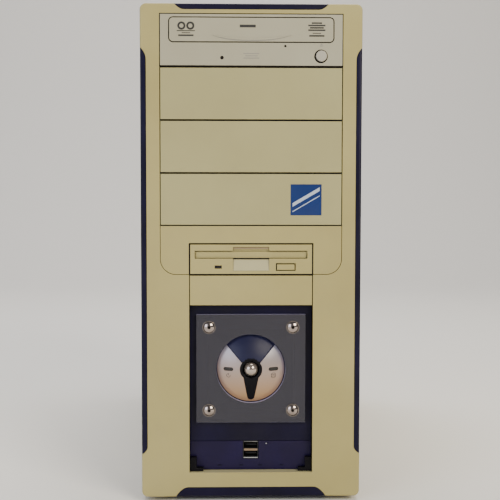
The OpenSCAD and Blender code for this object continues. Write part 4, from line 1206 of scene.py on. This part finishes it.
@dataclass
class Motherboard:
    """The board with its sockets, modules, cooler, card, ports and small components."""

    seed: int = 11
    can_r: float = 4.0
    can_tall: float = 12.0
    small_parts: int = 150
    pin_rows: int = 18
    pin_pitch: float = 2.54

    def build_nodes(self) -> None:
        """Dress the board, sockets, modules, cooler, card and ports."""
        dress("motherboard", FINISH.mask, 0.2)
        face = span("motherboard")[0].x
        low = span("board_sockets")[0]
        card_high = span("expansion_card")[1]
        cards_top = card_high.z + 4
        bridge_x = face - 3.2
        dress("board_sockets", FINISH.nylon, 0.25, 2, zones=[
            (FINISH.epoxy, lambda p, _n: p.x > bridge_x and low.y + 30 < p.y < low.y + 90
             and p.z < low.z + 60),
            (FINISH.black_abs, lambda p, _n: low.y + 11 < p.y < low.y + 46 and p.z > cards_top + 14)])
        dress("memory_modules", FINISH.mask, 0.1, 1, zones=[
            (FINISH.epoxy, lambda p, _n: self.on_chip(p))])
        dress("heatsink", FINISH.fins, 0.2, 1)
        dress("cpu_fan_frame", FINISH.black_abs, 0.4, 2)
        dress("cpu_fan_rotor", FINISH.black_abs, 0.3, 2)
        above_sheet = span("expansion_card")[0].z + 2.2 + 1.0
        bracket, plug = card_high.y - 1.0, card_high.y - 14
        dress("expansion_card", FINISH.mask, 0.15, 1, zones=[
            (FINISH.zinc, lambda p, _n: p.y > bracket),
            (FINISH.blue_abs, lambda p, _n: plug < p.y <= bracket and p.z > above_sheet),
            (FINISH.epoxy, lambda p, _n: p.y <= plug and p.z > above_sheet)])
        port_low, port_high = span("rear_ports")
        dress("rear_ports", FINISH.shell_metal, 0.25, 2, zones=[
            (FINISH.violet_abs, lambda p, _n: p.y < port_high.y - 3
             and port_low.z + 135 < p.z < port_low.z + 200),
            (FINISH.black_abs, lambda p, _n: p.y < port_high.y - 10.9)])

    @staticmethod
    def on_chip(p: Vector) -> bool:
        """Tell whether a point lies on one of the memory modules' chips."""
        low, high = span("memory_modules")
        sheet = 1.3
        near = min(abs(p.y - low.y), abs(p.y - (high.y - sheet)))
        return near < 0.9 and low.x + 6 < p.x < high.x - 11

    def build_components(self) -> None:
        """Scatter capacitors, chips, small parts and jumper headers over the board's free fields."""
        draw = random.Random(self.seed)
        low = span("motherboard")[0]
        face = low.x
        cpu_low, cpu_high = span("heatsink")
        cans, chips, small, pins = bmesh.new(), bmesh.new(), bmesh.new(), bmesh.new()
        # Round capacitors beside the processor
        column = [(cpu_high.y + 8 + 10 * (i % 2), cpu_low.z + 4 + 11 * (i // 2)) for i in range(10)]
        column += [(cpu_low.y - 12, cpu_low.z + 6 + 12 * i) for i in range(4)]
        for y, z in column:
            tall = self.can_tall + draw.random() * 2
            add_disc(cans, (face - tall / 2, y, z), self.can_r, tall, Axis.X, 20)
        # Flat chips in the middle field
        for y, z, w, h in ((low.y + 30, low.z + 22, 24, 24), (low.y + 120, low.z + 128, 20, 14),
                           (low.y + 96, low.z + 150, 14, 20), (low.y + 24, low.z + 58, 12, 9)):
            add_box(chips, (face - 2.2, y - w / 2, z - h / 2), (face - 0.05, y + w / 2, z + h / 2))
            count = int(w / 1.6)
            for i in range(count):
                off = (i - (count - 1) / 2) * 1.3
                for side in (-1, 1):
                    add_box(pins, (face - 0.9, y + off - 0.3, z + side * (h / 2 + 0.6) - 0.7),
                            (face - 0.04, y + off + 0.3, z + side * (h / 2 + 0.6) + 0.7))
        # Small parts on a loose grid, away from sockets
        for _ in range(self.small_parts):
            y = low.y + 58 + draw.random() * 60
            z = low.z + 80 + draw.random() * 110
            turned = draw.random() > 0.5
            w, h = (2.0, 1.2) if turned else (1.2, 2.0)
            add_box(small, (face - 0.9, y - w / 2, z - h / 2), (face - 0.02, y + w / 2, z + h / 2))
        # Jumper pins along the front edge
        for i in range(self.pin_rows):
            for j in (0, 1):
                y = low.y + 6 + j * self.pin_pitch
                z = low.z + 8 + i * self.pin_pitch
                add_box(pins, (face - 7, y - 0.32, z - 0.32), (face - 0.02, y + 0.32, z + 0.32))
        soften(cans, 0.5, 2)
        finish_piece("board_capacitors", cans, [FINISH.can], "case")
        finish_piece("board_chips", chips, [FINISH.epoxy], "case")
        finish_piece("board_small_parts", small, [FINISH.nylon], "case")
        finish_piece("board_pins", pins, [FINISH.gold], "case")

    def build(self) -> None:
        """Build the whole board."""
        self.build_nodes()
        self.build_components()


@dataclass
class PowerSupply:
    """The power supply with its fan, grille, inlet, rocker and label."""

    def build(self) -> None:
        """Build the whole supply."""
        dress("supply_case", FINISH.drive_steel, 0.3, 2)
        dress("supply_fan_frame", FINISH.black_abs, 0.5, 3)
        dress("supply_fan_rotor", FINISH.black_abs, 0.3, 2)
        low, high = span("mains_inlet")
        dress("mains_inlet", FINISH.black_abs, 0.4, 3, zones=[
            (FINISH.shell_metal, lambda p, _n: abs(p.z - (low.z + high.z) / 2) < 4.2
             and low.x + 4 < p.x < high.x - 4 and p.y > low.y + 4.5)])
        dress("mains_rocker", FINISH.black_abs, 0.6, 3)
        case_low, case_high = span("supply_case")
        bm = bmesh.new()
        add_box(bm, (case_low.x - 0.08, case_low.y + 22, case_low.z + 14),
                (case_low.x - 0.01, case_low.y + 118, case_high.z - 14))
        finish_piece("supply_label", bm, [FINISH.paper_label], "case")
        rocker = middle("mains_rocker")
        back = span("mains_rocker")[1].y
        bm = bmesh.new()
        add_box(bm, (rocker.x - 0.35, back - 2.4, rocker.z + 3.2),
                (rocker.x + 0.35, back - 1.5, rocker.z + 5.6))
        finish_piece("rocker_mark", bm, [FINISH.white_vinyl], BODY_OF["mains_rocker"])


@dataclass
class Leads:
    """The ribbon cables and the bundled power leads inside the case."""

    def build(self) -> None:
        """Build the leads."""
        dress("ribbon_cables", FINISH.ribbon_plain, 0.0)
        dress("power_harness", FINISH.sleeve, 0.0)


@dataclass
class Studio:
    """Floor, soft lights and camera."""

    floor_reach: float = 30.0
    curve_start: float = 1.6
    curve_radius: float = 0.9
    wall_height: float = 4.5
    surround_strength: float = 0.3
    lens: float = 70.26
    sensor: float = 36.0
    distance: float = 0.8
    camera_x: float = -0.0193
    camera_z: float = 0.257
    yaw: float = 1.31
    pitch: float = 3.36
    roll: float = -0.07

    def build_floor(self) -> None:
        """Lay a wide pale floor that curves up far behind the tower."""
        bm = bmesh.new()
        reach = self.floor_reach
        verts = [bm.verts.new((x, -reach, 0)) for x in (-reach, reach)]
        bm.edges.new(verts)
        start, radius = self.curve_start, self.curve_radius
        turns = [math.radians(degrees) for degrees in range(10, 91, 10)]
        profile = [(start, 0.0)]
        profile += [(start + radius * math.sin(a), radius - radius * math.cos(a)) for a in turns]
        profile += [(start + radius, self.wall_height)]
        edges = bm.edges[:]
        here = -reach
        height = 0.0
        for y, z in profile:
            made = bmesh.ops.extrude_edge_only(bm, edges=edges)["geom"]
            moved = [g for g in made if isinstance(g, bmesh.types.BMVert)]
            bmesh.ops.translate(bm, vec=(0, y - here, z - height), verts=moved)
            edges = [g for g in made if isinstance(g, bmesh.types.BMEdge)
                     and all(v in moved for v in g.verts)]
            here, height = y, z
        bmesh.ops.recalc_face_normals(bm, faces=bm.faces)
        mesh = bpy.data.meshes.new("floor")
        bm.to_mesh(mesh)
        bm.free()
        mesh.shade_smooth()
        mesh.materials.append(Finish("paper_backdrop_pale", "e9e7e3", 0.8, gloss_swing=0.0).build())
        floor = bpy.data.objects.new("floor", mesh)
        bpy.context.scene.collection.objects.link(floor)

    def add_light(self, name: str, place: Point, aim: Point, size: float, power: float, colour: str) -> None:
        """Hang a square soft light.

        Args:
            name: the light's name.
            place: where it hangs, in metres.
            aim: the point it faces, in metres.
            size: its side in metres.
            power: its power in watts.
            colour: sRGB hex colour.
        """
        data = bpy.data.lights.new(name, "AREA")
        data.shape = "SQUARE"
        data.size = size
        data.energy = power
        data.color = linear(colour)[:3]
        lamp = bpy.data.objects.new(name, data)
        lamp.location = place
        lamp.rotation_euler = (Vector(aim) - Vector(place)).to_track_quat("-Z", "Y").to_euler()
        lamp.visible_camera = False
        bpy.context.scene.collection.objects.link(lamp)

    def build_lights(self) -> None:
        """Hang the lights and set a dim even surround."""
        middle_point = (0.0, 0.0, 0.2)
        self.add_light("key_light", (1.3, -2.0, 1.5), middle_point, 1.2, 52.0, "fff4e0")
        self.add_light("fill_light", (-1.7, -1.9, 0.9), middle_point, 1.6, 30.0, "eef2ff")
        self.add_light("top_light", (0.2, 0.3, 2.3), middle_point, 1.6, 44.0, "fffaf0")
        self.add_light("back_light", (-1.0, 1.2, 2.2), middle_point, 1.4, 22.0, "f4f6ff")
        world = bpy.data.worlds.new("surround")
        world.use_nodes = True
        world.node_tree.nodes["Background"].inputs[0].default_value = linear("d9d9dc")
        world.node_tree.nodes["Background"].inputs[1].default_value = self.surround_strength
        bpy.context.scene.world = world

    def build_camera(self) -> None:
        """Place the camera a little left of the tower's middle, level with its upper half."""
        data = bpy.data.cameras.new("camera")
        data.lens = self.lens
        data.sensor_width = self.sensor
        data.clip_start = 0.05
        data.clip_end = 50.0
        camera = bpy.data.objects.new("camera", data)
        front = span("bezel_shell")[0].y * MM
        camera.location = (self.camera_x, front - self.distance, self.camera_z)
        camera.rotation_euler = tuple(math.radians(turn) for turn in (90 - self.pitch, self.roll, -self.yaw))
        bpy.context.scene.collection.objects.link(camera)
        bpy.context.scene.camera = camera

    def build(self) -> None:
        """Build the studio."""
        self.build_camera()
        self.build_floor()
        self.build_lights()


def main() -> None:
    """Build the tower, sub-assembly by sub-assembly, in its studio."""
    logging.basicConfig(level=logging.INFO, format="%(message)s")
    for part in (Studio(), Bezel(), ControlPanel(), OpticalDrive(), FloppyDrive(), Chassis(), Motherboard(),
                 PowerSupply(), Leads()):
        part.build()
        log.info("built %s", type(part).__name__)


if __name__ == "__main__":
    main()
